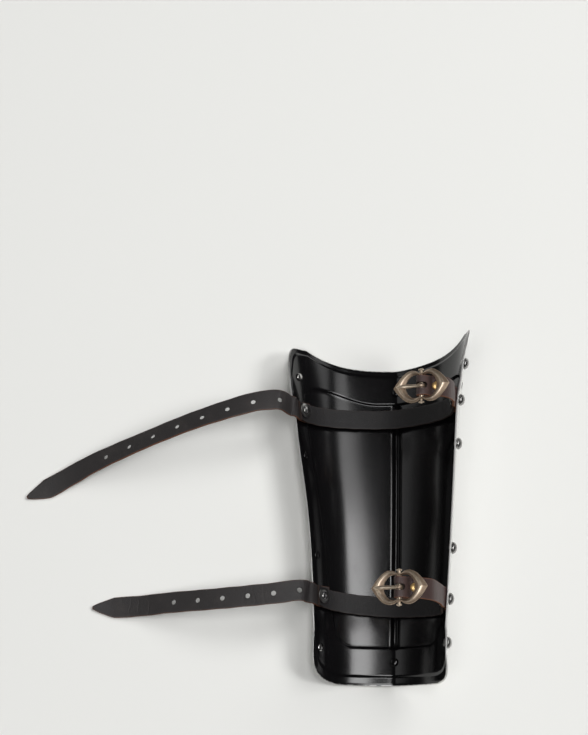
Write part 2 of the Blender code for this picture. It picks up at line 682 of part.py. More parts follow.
def make_strap(name, row, route, holes, lean):
    # the strap is riveted to the wall, bends over the edge and runs out to the left
    along = row["left"]
    on_plate = root_run(along, -1.0)
    rooted = len(on_plate)
    on_plate += over_edge(along, route[0]["y"])
    held = [lean.matrix_world @ p for p in on_plate]
    free = [Vector(ASSEMBLY_AT) + Vector((p["x"], p["y"], p["z"])) for p in route]
    path = spline([tuple(p) for p in held + free], STRAP_STEPS)
    tilt_rows = [0.0] * len(held) + [p["tilt"] for p in route]
    share = np.linspace(0.0, len(tilt_rows) - 1, len(path))
    tilts = np.radians(np.interp(share, np.arange(len(tilt_rows)), tilt_rows))
    tangents = unit_rows(np.gradient(path, axis=0))
    flat = unit_rows(np.stack([tangents[:, 1], -tangents[:, 0], 0.0 * tilts], 1))
    normals = np.cross(tangents, flat)
    normals *= np.sign(normals[:, 2:3])
    sides = flat * np.cos(tilts)[:, None] - normals * np.sin(tilts)[:, None]
    sides *= np.sign(sides[:, 1:2])
    wall_side = lean.matrix_world.to_3x3() @ wall_frame(-rivet_angle(along), along)[2]
    loose = ramp((share - rooted) / 4.0)[:, None]
    sides = np.array(wall_side)[None, :] * (1.0 - loose) + sides * loose
    run = np.concatenate([[0.0], np.cumsum(np.linalg.norm(np.diff(path, axis=0), axis=1))])
    left = np.clip((run[-1] - run) / TIP_LENGTH, 0.0, 1.0)
    halves = TIP_HALF_WIDTH + (STRAP_WIDTH / 2 - TIP_HALF_WIDTH) * left ** TIP_ROUNDING
    strap = ribbon(name, path, sides, halves, LEATHER)
    edge = run[STRAP_STEPS * rooted]
    punches = []
    for i in range(holes["count"]):
        at = edge + holes["first"] + holes["pitch"] * i
        centre, tangent, across = (
            Vector([float(np.interp(at, run, rows[:, k])) for k in range(3)])
            for rows in (path, tangents, sides))
        place = frame_at(centre, tangent.cross(across), tangent)
        punches.append(cylinder("punch", HOLE_RADIUS, PUNCH_LENGTH, place, PUNCH_SIDES))
    boolean(strap, join_cutters("punches_" + name, punches, None), "DIFFERENCE")
    return strap


def section_axes(buckle):
    turn = math.radians(buckle["fold"])
    reach = np.array((math.cos(turn), math.sin(turn)))
    up = np.array((-math.sin(turn), math.cos(turn)))
    return reach, up


def make_buckle_strap(name, row, buckle, lean):
    # one strip: a short tail under the fold, the bend round the bar, then the long side
    # down to the wall and the rivet
    along = row["right"]
    bar = np.array(buckle["bar"])
    reach, up = section_axes(buckle)
    wrap = BAR_RADIUS + FOLD_PLAY + LEATHER / 2
    close = (LEATHER + GAP) / 2
    plan = [(FOLD_TAIL, -close), (FOLD_RIVET, -close), (FOLD_CLOSES, -close)]
    plan += [(FOLD_OPENS, -wrap)]
    plan += [(-wrap * math.sin(a), -wrap * math.cos(a)) for a in np.radians(FOLD_BEND)]
    plan += [(FOLD_OPENS, wrap), (FOLD_CLOSES, close), (FOLD_RIVET, close)]
    section = [bar + reach * a + up * b for a, b in plan]
    section += [np.array(p) for p in buckle["route"]]
    edge = wall_point(math.pi / 2, along, -WALL_OFFSET - GAP)
    root = [(edge.x, edge.z + STRAP_KINK), (edge.x, edge.z)]
    root += [(p.x, p.z) for p in reversed(root_run(along, 1.0))]
    path = spline(np.array(section + root), STRAP_STEPS)
    rise = np.clip((path[:, 1] - edge.z) / (bar[1] - edge.z), 0.0, 1.0)
    centres = np.stack([path[:, 0], along + buckle["drift"] * rise, path[:, 1]], 1)
    on_wall = ramp((np.arange(len(path)) / STRAP_STEPS - len(section) + 1.0) / 2.0)[:, None]
    lengthwise = wall_frame(rivet_angle(along), along)[2]
    straight = np.array((0.0, 1.0, 0.0))
    sides = straight[None, :] * (1.0 - on_wall) + np.array(lengthwise)[None, :] * on_wall
    return ribbon(name, centres, sides, np.full(len(path), FOLD_WIDTH / 2), LEATHER)


def buckle_place(row, buckle, degrees):
    # a frame on the bar: X along the buckle, Y along the bar, Z up through it
    turn = math.radians(degrees)
    point = (buckle["bar"][0], row["right"] + buckle["drift"], buckle["bar"][1])
    up = (-math.sin(turn), 0.0, math.cos(turn))
    return frame_at(point, up, (math.cos(turn), 0.0, math.sin(turn)))


def quarter(key_x, key_y):
    return spline([(row[key_x], row[key_y]) for row in FRAME_OUTLINE], FRAME_STEPS)


def make_frame(name):
    # a ring with a bevelled section swept round the outline, a bar and two forked lugs
    outer = quarter("outer_x", "outer_y")
    inner = quarter("inner_x", "inner_y")
    ridge = quarter("ridge", "outer_y")[:, 0]
    there = list(range(len(outer) - 1))
    back = [i + 1 for i in reversed(there)]
    half = FRAME_THICKNESS / 2
    points = []
    for sign_x, sign_y, picks in ((1, 1, there), (-1, 1, back), (-1, -1, there), (1, -1, back)):
        for i in picks:
            for row in FRAME_SECTION:
                x, y = outer[i] + (inner[i] - outer[i]) * row["across"]
                height = row["height"] + row["at_point"] * ridge[i]
                points.append((x * sign_x, y * sign_y, height * half))
    sides = len(FRAME_SECTION)
    rings = len(points) // sides
    faces = []
    for i in range(rings):
        after = (i + 1) % rings
        for k in range(sides):
            beside = (k + 1) % sides
            faces.append((sides * i + k, sides * i + beside,
                          sides * after + beside, sides * after + k))
    frame = mesh_object(name, points, faces)
    turn = Matrix.Rotation(math.pi / 2, 4, "X")
    waist = FRAME_OUTLINE[-1]["outer_y"]
    bar = cylinder("bar_" + name, BAR_RADIUS, 2 * (waist - BAR_INSET), turn)
    boolean(frame, cutter(bar, frame), "UNION")
    for row in LUGS:
        for side in (-1, 1):
            lug = box(f"{row['name']}_{name}_{side}", (row["width"], row["length"], row["height"]),
                      Matrix.Translation((0.0, side * (waist + row["out"]), 0.0)))
            boolean(frame, cutter(lug, frame), "UNION")
    return frame


def make_tongue(name):
    # a tapered pin from the hub on the bar up over the rim, lofted from round sections
    points = []
    for row in TONGUE:
        for k in range(TONGUE_SIDES):
            turn = 2 * math.pi * (k + 0.5) / TONGUE_SIDES
            points.append((-row["reach"], row["half"] * math.cos(turn),
                           row["height"] + row["thick"] * math.sin(turn)))
    tongue = mesh_object(name, points, tube_faces(len(TONGUE) - 1, TONGUE_SIDES))
    turn = Matrix.Rotation(math.pi / 2, 4, "X")
    hub = cylinder("hub_" + name, TONGUE_HUB, TONGUE_WIDTH, turn, HUB_SIDES)
    bore = cylinder("bore_" + name, BAR_RADIUS + GAP, 3 * TONGUE_WIDTH, turn, HUB_SIDES)
    boolean(tongue, cutter(hub, tongue), "UNION")
    boolean(tongue, cutter(bore, tongue), "DIFFERENCE")
    return tongue


def stud_profile():
    # the fold's rivet, centred between its two layers: dome, shank and peened end
    seat = LEATHER + GAP / 2 + GAP
    dome = []
    for degrees in STUD_DOME_STEPS:
        turn = math.radians(degrees)
        dome.append((STUD_RADIUS * math.cos(turn), seat + STUD_HEIGHT * math.sin(turn)))
    dome[0] = (0.0, dome[0][1])
    return dome + [
        (STUD_RADIUS, seat),
        (STUD_SHANK, seat),
        (STUD_SHANK, -seat),
        (STUD_PEEN, -seat),
        (STUD_PEEN * 0.8, -seat - STUD_PEEN_HEIGHT),
        (0.0, -seat - STUD_PEEN_HEIGHT),
    ]


def make_buckle(kind, row, lean):
    buckle = BUCKLES[kind]
    strap = put(make_buckle_strap(kind + "_buckle_strap", row, buckle, lean), lean, BROWN_LEATHER)
    frame = make_frame(kind + "_buckle_frame")
    frame.matrix_world = buckle_place(row, buckle, buckle["slope"])
    put(frame, lean, BRONZE)
    tongue = make_tongue(kind + "_buckle_tongue")
    tongue.matrix_world = buckle_place(row, buckle, buckle["slope"])
    put(tongue, lean, BRONZE)
    fold = buckle_place(row, buckle, buckle["fold"])
    rivet = turned(kind + "_buckle_rivet", stud_profile())
    rivet.matrix_world = fold @ Matrix.Translation((FOLD_RIVET, 0.0, 0.0))
    put(rivet, lean, BRASS)
    slot = box("slot", (SLOT_REACH + SLOT_BACK, SLOT_WIDTH, SLOT_HEIGHT),
               fold @ Matrix.Translation(((SLOT_REACH - SLOT_BACK) / 2, 0.0, 0.0)))
    pin = cylinder("pin", STUD_SHANK + GAP, SLOT_HEIGHT,
                   fold @ Matrix.Translation((FOLD_RIVET, 0.0, 0.0)))
    boolean(strap, join_cutters(kind + "_fold_cuts", [slot, pin], lean), "DIFFERENCE")
    return strap


for old in list(bpy.data.objects):
    bpy.data.objects.remove(old)

parts = bpy.data.collections.new("vambrace")
cutters = bpy.data.collections.new("cutters")
bpy.context.scene.collection.children.link(parts)
bpy.context.scene.collection.children.link(cutters)

STEEL = material("polished_steel", (0.62, 0.62, 0.60), 0.22, 1.0)
BLACK_LEATHER = material("black_leather", (0.035, 0.03, 0.03), 0.55, 0.0)
BROWN_LEATHER = material("brown_leather", (0.07, 0.035, 0.028), 0.5, 0.0)
BRONZE = material("aged_bronze", (0.42, 0.32, 0.22), 0.35, 1.0)
BRASS = material("brass", (0.78, 0.60, 0.30), 0.3, 1.0)

lean = bpy.data.objects.new("plate_lean", None)
parts.objects.link(lean)
lean.location = Vector(ASSEMBLY_AT) + Vector(PLATE_AT)
lean.rotation_euler = [math.radians(a) for a in (PLATE_PITCH, PLATE_ROLL, PLATE_YAW)]
bpy.context.view_layer.update()

plate = put(make_plate(), lean, STEEL)
holes = make_rivets(lean)
boolean(plate, holes, "DIFFERENCE")

for row in SIDE_RIVETS:
    kind = row["strap"]
    if kind is None:
        continue
    band = put(make_band(kind + "_band", row, BANDS[kind]), lean, BLACK_LEATHER)
    boolean(band, holes, "DIFFERENCE")
    route = dict(elbow=ELBOW_ROUTE, wrist=WRIST_ROUTE)[kind]
    strap = put(make_strap(kind + "_strap", row, route, HOLES[kind], lean), None, BLACK_LEATHER)
    boolean(strap, holes, "DIFFERENCE")
    boolean(make_buckle(kind, row, lean), holes, "DIFFERENCE")
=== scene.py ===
import math

import bmesh
import bpy
import numpy as np
from mathutils import Euler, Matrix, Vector


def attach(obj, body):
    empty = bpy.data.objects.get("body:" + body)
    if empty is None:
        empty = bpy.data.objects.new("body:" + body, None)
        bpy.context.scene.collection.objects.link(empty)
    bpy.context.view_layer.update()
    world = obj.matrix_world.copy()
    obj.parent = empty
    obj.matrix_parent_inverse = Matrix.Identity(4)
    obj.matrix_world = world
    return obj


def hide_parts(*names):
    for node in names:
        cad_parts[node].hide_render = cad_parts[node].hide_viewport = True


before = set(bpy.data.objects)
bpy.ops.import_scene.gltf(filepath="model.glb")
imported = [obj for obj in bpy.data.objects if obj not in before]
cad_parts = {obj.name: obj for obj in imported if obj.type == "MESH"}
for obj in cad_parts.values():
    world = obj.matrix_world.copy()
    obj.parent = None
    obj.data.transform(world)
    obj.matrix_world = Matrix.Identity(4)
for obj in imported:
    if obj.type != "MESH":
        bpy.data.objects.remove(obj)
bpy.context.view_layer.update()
print("frame loaded:", len(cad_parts), "nodes")

mm = 0.001
# points closer than this become one
weldWithin = 0.002 * mm
# an edge that turns by more than this many degrees stays crisp
crisp = dict(rivet=40, leather=50, tongue=50, frame=60)
# how many sides each round thing has, and how many points each bend
sidesOf = dict(rivet=28, washer=36, hole=24, hub=32, bar=20, tongue=20)
bendOf = dict(dome=12, spread=7, rim=7, stud=11, slot=9)

# where the plate's own axes lie: it rests rolled towards the strap side
lay = dict(origin=(118.4 * mm, -130.1 * mm, 0.0), plateAt=(-1.1 * mm, 0.4 * mm, 9.77 * mm),
           pitch=0.3, roll=-22.5, yaw=0.2)
layAngles = [math.radians(lay[key]) for key in ("pitch", "roll", "yaw")]
layTurn = np.array(Euler(layAngles).to_matrix())
layAt = np.array(lay["origin"]) + np.array(lay["plateAt"])


def sized(**sizes):
    # a table of sizes that are written in millimetres
    return {key: tuple(part * mm for part in size) if isinstance(size, tuple) else size * mm
            for key, size in sizes.items()}


def toFloor(points):
    # from the plate's axes to the floor's
    return points @ layTurn.T + layAt


def smooth(value):
    value = np.clip(value, 0.0, 1.0)
    return value * value * (3.0 - 2.0 * value)


def unit(rows):
    return rows / np.linalg.norm(rows, axis=-1, keepdims=True)


def runAlong(path):
    # how far along the path each of its points is
    gaps = np.linalg.norm(np.diff(path, axis=0), axis=1)
    return np.concatenate([[0.0], np.cumsum(gaps)])


def throughPoints(points, perSpan):
    # a Catmull-Rom curve: each span blends its two ends and their neighbours with cubic weights
    points = np.asarray(points, float)
    ends = np.vstack([2 * points[0] - points[1], points, 2 * points[-1] - points[-2]])
    t = np.linspace(0.0, 1.0, perSpan, endpoint=False)[None, :, None]
    a, b, c, d = (ends[k:len(ends) - 3 + k, None, :] for k in range(4))
    spans = 0.5 * (2 * b + (c - a) * t + (2 * a - 5 * b + 4 * c - d) * t ** 2
                   + (3 * b - a - 3 * c + d) * t ** 3)
    return np.vstack([spans.reshape(-1, points.shape[1]), points[-1:]])


def fullTurn(around):
    return np.linspace(0.0, 2 * math.pi, around, endpoint=False)


def gridFaces(rows, columns, wrapRows=False, wrapColumns=False):
    # one quad between each four neighbours of a grid, going round where it wraps
    i = np.arange(rows if wrapRows else rows - 1)[:, None]
    j = np.arange(columns if wrapColumns else columns - 1)[None, :]
    after, beside = (i + 1) % rows, (j + 1) % columns
    return np.stack([i * columns + j, after * columns + j,
                     after * columns + beside, i * columns + beside], -1).reshape(-1, 4)


def newObject(name, data):
    thing = bpy.data.objects.new(name, data)
    bpy.context.scene.collection.objects.link(thing)
    return thing


def makePiece(name, shells, material, node=None, sharp=None, body="vambrace"):
    # shells: (points, faces, {attribute: a value, or one for each point}); points that meet are
    # welded
    count = 0
    allPoints, allFaces, values = [], [], {}
    keys = sorted({key for shell in shells for key in shell[2]})
    for points, faces, extra in shells:
        flat = np.asarray(points, float).reshape(-1, 3)
        allPoints.append(flat)
        allFaces += [[int(k) + count for k in face] for face in faces]
        for key in keys:
            value = np.asarray(extra.get(key, 0.0), float).reshape(-1)
            values.setdefault(key, []).append(np.broadcast_to(value, len(flat)))
        count += len(flat)
    mesh = bpy.data.meshes.new(name)
    mesh.from_pydata(np.vstack(allPoints).tolist(), [], allFaces)
    for key in keys:
        layer = mesh.attributes.new(key, "FLOAT", "POINT")
        layer.data.foreach_set("value", np.concatenate(values[key]).astype(np.float32))
    work = bmesh.new()
    work.from_mesh(mesh)
    bmesh.ops.remove_doubles(work, verts=work.verts, dist=weldWithin)
    bmesh.ops.recalc_face_normals(work, faces=work.faces)
    work.to_mesh(mesh)
    work.free()
    mesh.shade_smooth()
    if sharp is not None:
        mesh.set_sharp_from_angle(angle=math.radians(sharp))
    mesh.materials.append(material)
    piece = newObject(name, mesh)
    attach(piece, body)
    if node:
        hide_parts(node)
    return piece


class Wire:
    # a node's output, so that shader maths reads as plain arithmetic
    def __init__(self, tree, socket):
        self.tree = tree
        self.socket = socket

    def make(self, kind, settings=None, inputs=None, out=0):
        # any other node: its type, its settings and its sockets' values or wires
        node = self.tree.nodes.new(kind)
        for key, value in (settings or {}).items():
            setattr(node, key, value)
        for key, value in (inputs or {}).items():
            if isinstance(value, Wire):
                self.tree.links.new(value.socket, node.inputs[key])
            elif value is not None:
                node.inputs[key].default_value = value
        return Wire(self.tree, node.outputs[out])

    def maths(self, operation, *others):
        return self.make("ShaderNodeMath", dict(operation=operation),
                         dict(enumerate((self,) + others)))

    def __add__(self, other):
        return self.maths("ADD", other)

    __radd__ = __add__

    def __sub__(self, other):
        return self.maths("SUBTRACT", other)

    def __rsub__(self, other):
        return (self * -1.0) + other

    def __mul__(self, other):
        return self.maths("MULTIPLY", other)

    def __abs__(self):
        return self.maths("ABSOLUTE")

    def atMost(self, other):
        return self.maths("MINIMUM", other)

    def sine(self):
        return self.maths("SINE")

    def between(self, low, high):
        # 0 below low, 1 above high, eased in between
        return self.make("ShaderNodeMapRange", dict(interpolation_type="SMOOTHSTEP"),
                         {"Value": self, "From Min": low, "From Max": high})

    def mix(self, first, second):
        # a colour that goes from first to second as this wire goes from 0 to 1
        def colour(value):
            return value if isinstance(value, Wire) else (*value, 1.0)
        return self.make("ShaderNodeMix", dict(data_type="RGBA"),
                         {0: self, 6: colour(first), 7: colour(second)}, out=2)

    def stretched(self, scale, turned=(0.0, 0.0, 0.0)):
        return self.make("ShaderNodeMapping", None,
                         {"Vector": self, "Scale": scale, "Rotation": turned})

    def noise(self, scale, detail, rough=0.5):
        return self.make("ShaderNodeTexNoise", None,
                         {"Vector": self, "Scale": scale, "Detail": detail, "Roughness": rough})

    def cells(self, scale, feature="F1"):
        return self.make("ShaderNodeTexVoronoi", dict(feature=feature),
                         {"Vector": self, "Scale": scale})

    def attribute(self, name):
        return self.make("ShaderNodeAttribute", dict(attribute_name=name), out=2)

    def bump(self, height, strength, distance, under=None):
        return self.make("ShaderNodeBump", None,
                         {"Height": height, "Strength": strength, "Distance": distance,
                          "Normal": under})


def newMaterial(name, fixed):
    # the shader with its fixed values, and a wire to start from that reads Object coordinates
    material = bpy.data.materials.new(name)
    material.use_nodes = True
    tree = material.node_tree
    shader = tree.nodes["Principled BSDF"]
    for key, value in fixed.items():
        shader.inputs[key].default_value = value
    place = tree.nodes.new("ShaderNodeTexCoord")
    at = Wire(tree, place.outputs["Object"])

    def finish(**wires):
        for key, wire in wires.items():
            tree.links.new(wire.socket, shader.inputs[key.replace("_", " ")])
    return material, at, finish


# steel: mirror polish outside with a haze, hand-rubbing marks, faint waviness and a few stains;
# the hollow side is blackened, satin, lightly scuffed and just a little grainy. A noise is its
# scale, detail and roughness, and a stroke its scale along each axis; Haze adds roughness
steelLook = dict(
    bright=(0.74, 0.735, 0.72), stain=(0.50, 0.48, 0.46), dulled=(0.24, 0.235, 0.23),
    black=(0.0032, 0.0030, 0.0034), scuffed=(0.012, 0.0115, 0.0125),
    roughness=0.13, broadHaze=0.08, fineHaze=0.05, stainHaze=0.08, dullHaze=0.22, rimHaze=0.34,
    blackRoughness=0.13, blackHaze=0.06, scuffHaze=0.10, grainHaze=0.10,
    scratchDepth=0.006 * mm, waveDepth=0.04 * mm, grainDepth=0.012 * mm,
    broad=(28.0, 4.0, 0.55), cloud=(110.0, 5.0, 0.6), dents=(16.0, 2.0, 0.4),
    grain=(1900.0, 3.0, 0.6), rubbed=(900.0, 60.0, 900.0), crossed=(70.0, 1100.0, 70.0),
    crossTurn=(0.0, 0.0, 0.35), brushed=(260.0, 22.0, 260.0), rubbedShare=0.6)


def makeSteel():
    material, at, finish = newMaterial("polishedSteel", {"Metallic": 1.0, "IOR": 1.55})
    look = steelLook
    inner, dull, rim = (at.attribute(name) for name in ("inner", "dull", "rim"))
    broad, cloud, dents, grain = (at.noise(*look[key])
                                  for key in ("broad", "cloud", "dents", "grain"))
    rubbed = at.stretched(look["rubbed"]).noise(1.0, 4.0, 0.6)
    crossed = at.stretched(look["crossed"], look["crossTurn"]).noise(1.0, 3.0, 0.6)
    brushed = at.stretched(look["brushed"]).noise(1.0, 4.0, 0.6)
    stains = broad.between(0.56, 0.74) * 0.5 + cloud.between(0.60, 0.80) * 0.25
    fine = rubbed * look["rubbedShare"] + crossed * (1.0 - look["rubbedShare"])
    under = at.bump(dents, 1.0, look["waveDepth"])
    scuffs = brushed.between(0.55, 0.80) * cloud.between(0.40, 0.70)
    bare = dull.mix(stains.mix(look["bright"], look["stain"]), look["dulled"])
    blackened = scuffs.mix(look["black"], look["scuffed"])
    polish = look["roughness"] + broad * look["broadHaze"] + (fine - 0.5) * look["fineHaze"] \
        + stains * look["stainHaze"] + dull * look["dullHaze"] + rim * look["rimHaze"]
    satin = look["blackRoughness"] + broad * look["blackHaze"] + scuffs * look["scuffHaze"] \
        + (grain - 0.5) * look["grainHaze"]
    polished = at.bump(fine * (1.0 - inner), 0.7, look["scratchDepth"], under)
    finish(Base_Color=inner.mix(bare, blackened),
           Metallic=1.0 - inner,
           Roughness=polish * (1.0 - inner) + satin * inner,
           Normal=at.bump(grain * inner, 0.8, look["grainDepth"], polished))
    return material


# leather: a pebbled grain, creases across the run, rubbed edges, and raw brown cut sides
leatherLooks = dict(
    blackLeather=dict(face=(0.023, 0.0205, 0.0205), rubbed=(0.050, 0.042, 0.039),
                      raw=(0.17, 0.060, 0.028), roughness=0.46),
    bandLeather=dict(face=(0.013, 0.012, 0.0125), rubbed=(0.030, 0.026, 0.025),
                     raw=(0.035, 0.020, 0.015), roughness=0.50),
    brownLeather=dict(face=(0.042, 0.024, 0.022), rubbed=(0.085, 0.050, 0.042),
                      raw=(0.22, 0.070, 0.020), roughness=0.42),
)
leatherGrain = dict(depth=0.20 * mm, strength=0.75, pebbles=820.0, pores=1700.0,
                    blotch=(60.0, 5.0, 0.6), fibres=(1400.0, 4.0, 0.7), creasePitch=900.0,
                    creaseWander=(90.0, 2.0), wander=9.0, creaseWhere=(35.0, 2.0), darkFibre=0.45)


def makeLeather(name):
    look, grain = leatherLooks[name], leatherGrain
    material, at, finish = newMaterial(name, {"Specular IOR Level": 0.5})
    cut, along, across = (at.attribute(key) for key in ("cut", "along", "across"))
    pebbles = at.cells(grain["pebbles"]).between(0.0, 0.8)
    pores = at.cells(grain["pores"], "SMOOTH_F1")
    blotch, fibres = at.noise(*grain["blotch"]), at.noise(*grain["fibres"])
    wander = at.noise(*grain["creaseWander"]) * grain["wander"]
    crease = (along * grain["creasePitch"] + wander).sine()
    creases = crease.between(0.75, 1.0) * at.noise(*grain["creaseWhere"]).between(0.48, 0.66)
    edge = abs(across).between(0.80, 1.0)
    wear = (edge * 0.55 + blotch.between(0.45, 0.85) * 0.5).atMost(1.0)
    face = wear.mix(look["face"], look["rubbed"])
    raw = fibres.mix(tuple(grain["darkFibre"] * part for part in look["raw"]), look["raw"])
    height = pebbles * 0.55 + pores * 0.25 + blotch * 0.3 - creases * 0.7 + fibres * cut * 0.8
    finish(Base_Color=cut.mix(face, raw),
           Roughness=look["roughness"] + blotch * 0.16 - wear * 0.08 + cut * 0.25
           + pebbles * 0.05,
           Normal=at.bump(height, grain["strength"], grain["depth"]))
    return material


# bronze and brass: dark in the hollows, rubbed pale and smooth on the raised lines
bronzeLook = dict(high=(0.82, 0.68, 0.53), low=(0.36, 0.27, 0.20), pit=(0.07, 0.05, 0.04),
                  roughness=0.36, pitDepth=0.10 * mm)
brassLook = dict(high=(0.95, 0.66, 0.30), low=(0.70, 0.44, 0.16), pit=(0.16, 0.09, 0.03),
                 roughness=0.44, pitDepth=0.05 * mm)
castGrain = dict(cloud=(260.0, 5.0, 0.65), pits=900.0, dirt=(120.0, 4.0, 0.6), hollowHaze=0.22,
                 cloudHaze=0.08, strength=0.6)


def makeBronze(name, look):
    material, at, finish = newMaterial(name, {"Metallic": 1.0})
    grain = castGrain
    raised = at.attribute("raised")
    cloud = at.noise(*grain["cloud"])
    pits = at.cells(grain["pits"]).between(0.0, 0.22)
    dirt = at.noise(*grain["dirt"]).between(0.35, 0.7)
    rubbed = (raised * 0.9 + (cloud - 0.5) * 0.7 + 0.15).between(0.1, 0.9)
    tone = rubbed.mix(look["low"], look["high"])
    finish(Base_Color=((1.0 - pits) * dirt * 0.5 * (1.0 - raised)).mix(tone, look["pit"]),
           Roughness=look["roughness"] + (1.0 - rubbed) * grain["hollowHaze"]
           + cloud * grain["cloudHaze"],
           Normal=at.bump(cloud * 0.6 + pits * 0.4, grain["strength"], look["pitDepth"]))
    return material


steel = makeSteel()
leathers = {name: makeLeather(name) for name in leatherLooks}
bronze = makeBronze("agedBronze", bronzeLook)
brass = makeBronze("polishedBrass", brassLook)
print("materials made")

# the plate: sizes of its section at both ends and of what is pressed into it
plate = sized(
    length=259.6, thick=1.2, wristHalf=48.4, elbowHalf=68.1, waistIn=1.8, wristDeep=32.0,
    elbowDeep=48.6, waistUp=4.8, keelDrop=5.0, keelHalf=35.0, keelSoft=2.0, elbowFlare=4.9,
    flareFrom=192.0, wristFlare=0.8, wristFlareLength=30.0, bow=0.71, bowFrom=142.7,
    bowUnit=100.0, bulge=3.6, bulgeAt=190.0, bulgeReach=50.0, scallop=15.0,
    wristCorner=(25.7, 22.1), elbowCorner=(14.8, 40.7), lineClear=4.0, ribHigh=2.6, ribHalf=3.8,
    ribFrom=25.5, ribTo=218.0, ribFade=4.5, panelHigh=1.2, stepWide=2.4, wristLine=27.5,
    wristRise=14.0, elbowLine=217.3, elbowWave=11.0, elbowDrop=12.0)
# angles from the ridge in degrees, powers and shares
plate.update(
    scallopAngle=63.0, wristTurn=36.0, waveFrom=12.0, waveTop=58.0, sideWrist=50.0,
    sideElbow=72.0, sideStep=2.6, scallopPower=2.44, sidePower=0.6, flarePower=1.4,
    flareAtRidge=0.05, borderStretch=2.2, edgeCrowding=1.3, ribFlat=0.22)
# each end's stepped border: distance from the edge, and how far it stands out
wristBorder = sized(inset=(0.0, 1.5, 5.6, 7.2), out=(1.2, 1.0, 0.8, 0.0))
elbowBorder = sized(inset=(0.0, 1.2, 3.4, 5.0), out=(0.9, 0.8, 0.7, 0.0))
# how many grid lines each stretch gets, from the ridge outwards and from wrist to elbow
plateColumns = dict(rib=12, panel=44, step=8, flange=24)
plateRows = dict(border=22, cuff=24, step=8, body=104)


def wallSize(along):
    share = along / plate["length"]
    waist = 4.0 * share * (1.0 - share)
    half = plate["wristHalf"] + (plate["elbowHalf"] - plate["wristHalf"]) * share \
        - plate["waistIn"] * waist
    deep = plate["wristDeep"] + (plate["elbowDeep"] - plate["wristDeep"]) * share \
        - plate["waistUp"] * waist
    return half, deep


def wallPoint(angle, along, out=0.0, soft=plate["keelSoft"]):
    # half an ellipse dropped to a keel at the ridge, flared at both ends and bowed a little
    # towards the straps, with a bulge there; out moves the point off the wall along the
    # ellipse's normal, soft rounds the keel's crease
    angle, along, out = np.broadcast_arrays(np.asarray(angle, float), along, out)
    half, deep = wallSize(along)
    side = np.sin(angle)
    x = half * side
    z = deep * (1.0 - np.cos(angle))
    normalX, normalZ = side / half, -np.cos(angle) / deep
    size = np.hypot(normalX, normalZ)
    elbow = np.clip((along - plate["flareFrom"]) / (plate["length"] - plate["flareFrom"]), 0, 2)
    wrist = np.clip(1.0 - along / plate["wristFlareLength"], 0, 2)
    flare = plate["elbowFlare"] * elbow ** plate["flarePower"] \
        + plate["wristFlare"] * wrist ** 2
    grow = out + flare * (plate["flareAtRidge"] + (1.0 - plate["flareAtRidge"]) * side ** 2)
    fromRidge = np.sqrt(x ** 2 + soft ** 2)
    keel = plate["keelDrop"] * np.clip(1.0 - fromRidge / plate["keelHalf"], 0, 1) ** 2
    shift = plate["bulge"] * np.exp(-((along - plate["bulgeAt"]) / plate["bulgeReach"]) ** 2) \
        * np.minimum(side, 0.0) ** 2 \
        + plate["bow"] * ((along - plate["bowFrom"]) / plate["bowUnit"]) ** 2
    return np.stack([x + normalX / size * grow - shift, along,
                     z + normalZ / size * grow - keel], -1)


def cornerDrop(angle, along, corner):
    # a quarter ellipse draws the end edge back beside the long edge; the second value is how
    # much longer the border gets along the plate there, to keep its width square to the edge
    across, back = corner
    inset = wallSize(along)[1] * (math.pi / 2 - angle)
    bite = np.clip(1.0 - inset / across, 0, 1)
    rest = np.sqrt(1.0 - bite ** 2)
    slope = back / across * bite / np.maximum(rest, 0.1)
    return back * (1.0 - rest), np.minimum(np.hypot(1.0, slope), plate["borderStretch"])


def elbowEdge(angle):
    share = np.clip(np.degrees(angle) / plate["scallopAngle"], 0, 1)
    drop, stretch = cornerDrop(angle, plate["length"], plate["elbowCorner"])
    scallop = plate["scallop"] * (1.0 - share ** plate["scallopPower"])
    return plate["length"] - scallop - drop, stretch


def wristLineAt(angle):
    turned = np.clip((np.degrees(angle) - plate["wristTurn"])
                     / (plate["sideWrist"] - plate["wristTurn"]), 0, 1)
    return plate["wristLine"] + plate["wristRise"] * (1.0 - np.sqrt(1.0 - turned ** 2))


def elbowLineAt(angle):
    degrees = np.degrees(angle)
    wave = np.clip((degrees - plate["waveFrom"]) / (plate["waveTop"] - plate["waveFrom"]), 0, 1)
    turned = np.clip((degrees - plate["waveTop"]) / (plate["sideElbow"] - plate["waveTop"]), 0, 1)
    return plate["elbowLine"] + plate["elbowWave"] * 0.5 * (1.0 - np.cos(math.pi * wave)) \
        - plate["elbowDrop"] * (1.0 - np.sqrt(1.0 - turned ** 2))


def columnAngle(column, along):
    # column counts 0-1 over the rib, 1-2 over the panel, 2-3 over its step, 3-4 over the wing
    half = wallSize(along)[0]
    share = np.clip((along - plate["wristLine"]) / (plate["elbowLine"] - plate["wristLine"]), 0, 1)
    side = plate["sideWrist"] \
        + (plate["sideElbow"] - plate["sideWrist"]) * share ** plate["sidePower"]
    marks = np.stack([np.zeros_like(side), np.arcsin(plate["ribHalf"] / half) + 0.0 * side,
                      np.radians(side - plate["sideStep"] / 2),
                      np.radians(side + plate["sideStep"] / 2),
                      np.full_like(side, math.pi / 2)])
    whole = np.clip(np.floor(column), 0, 3).astype(int)
    part = column - whole
    part = np.where(whole == 3, 1.0 - (1.0 - part) ** plate["edgeCrowding"], part)
    low = np.take_along_axis(marks, whole[None], 0)[0]
    high = np.take_along_axis(marks, whole[None] + 1, 0)[0]
    return low + (high - low) * part


def steps(parts):
    # 0..n, each whole stretch divided into its own number of parts
    line = [k + np.arange(part) / part for k, part in enumerate(parts)]
    return np.concatenate(line + [[float(len(parts))]])


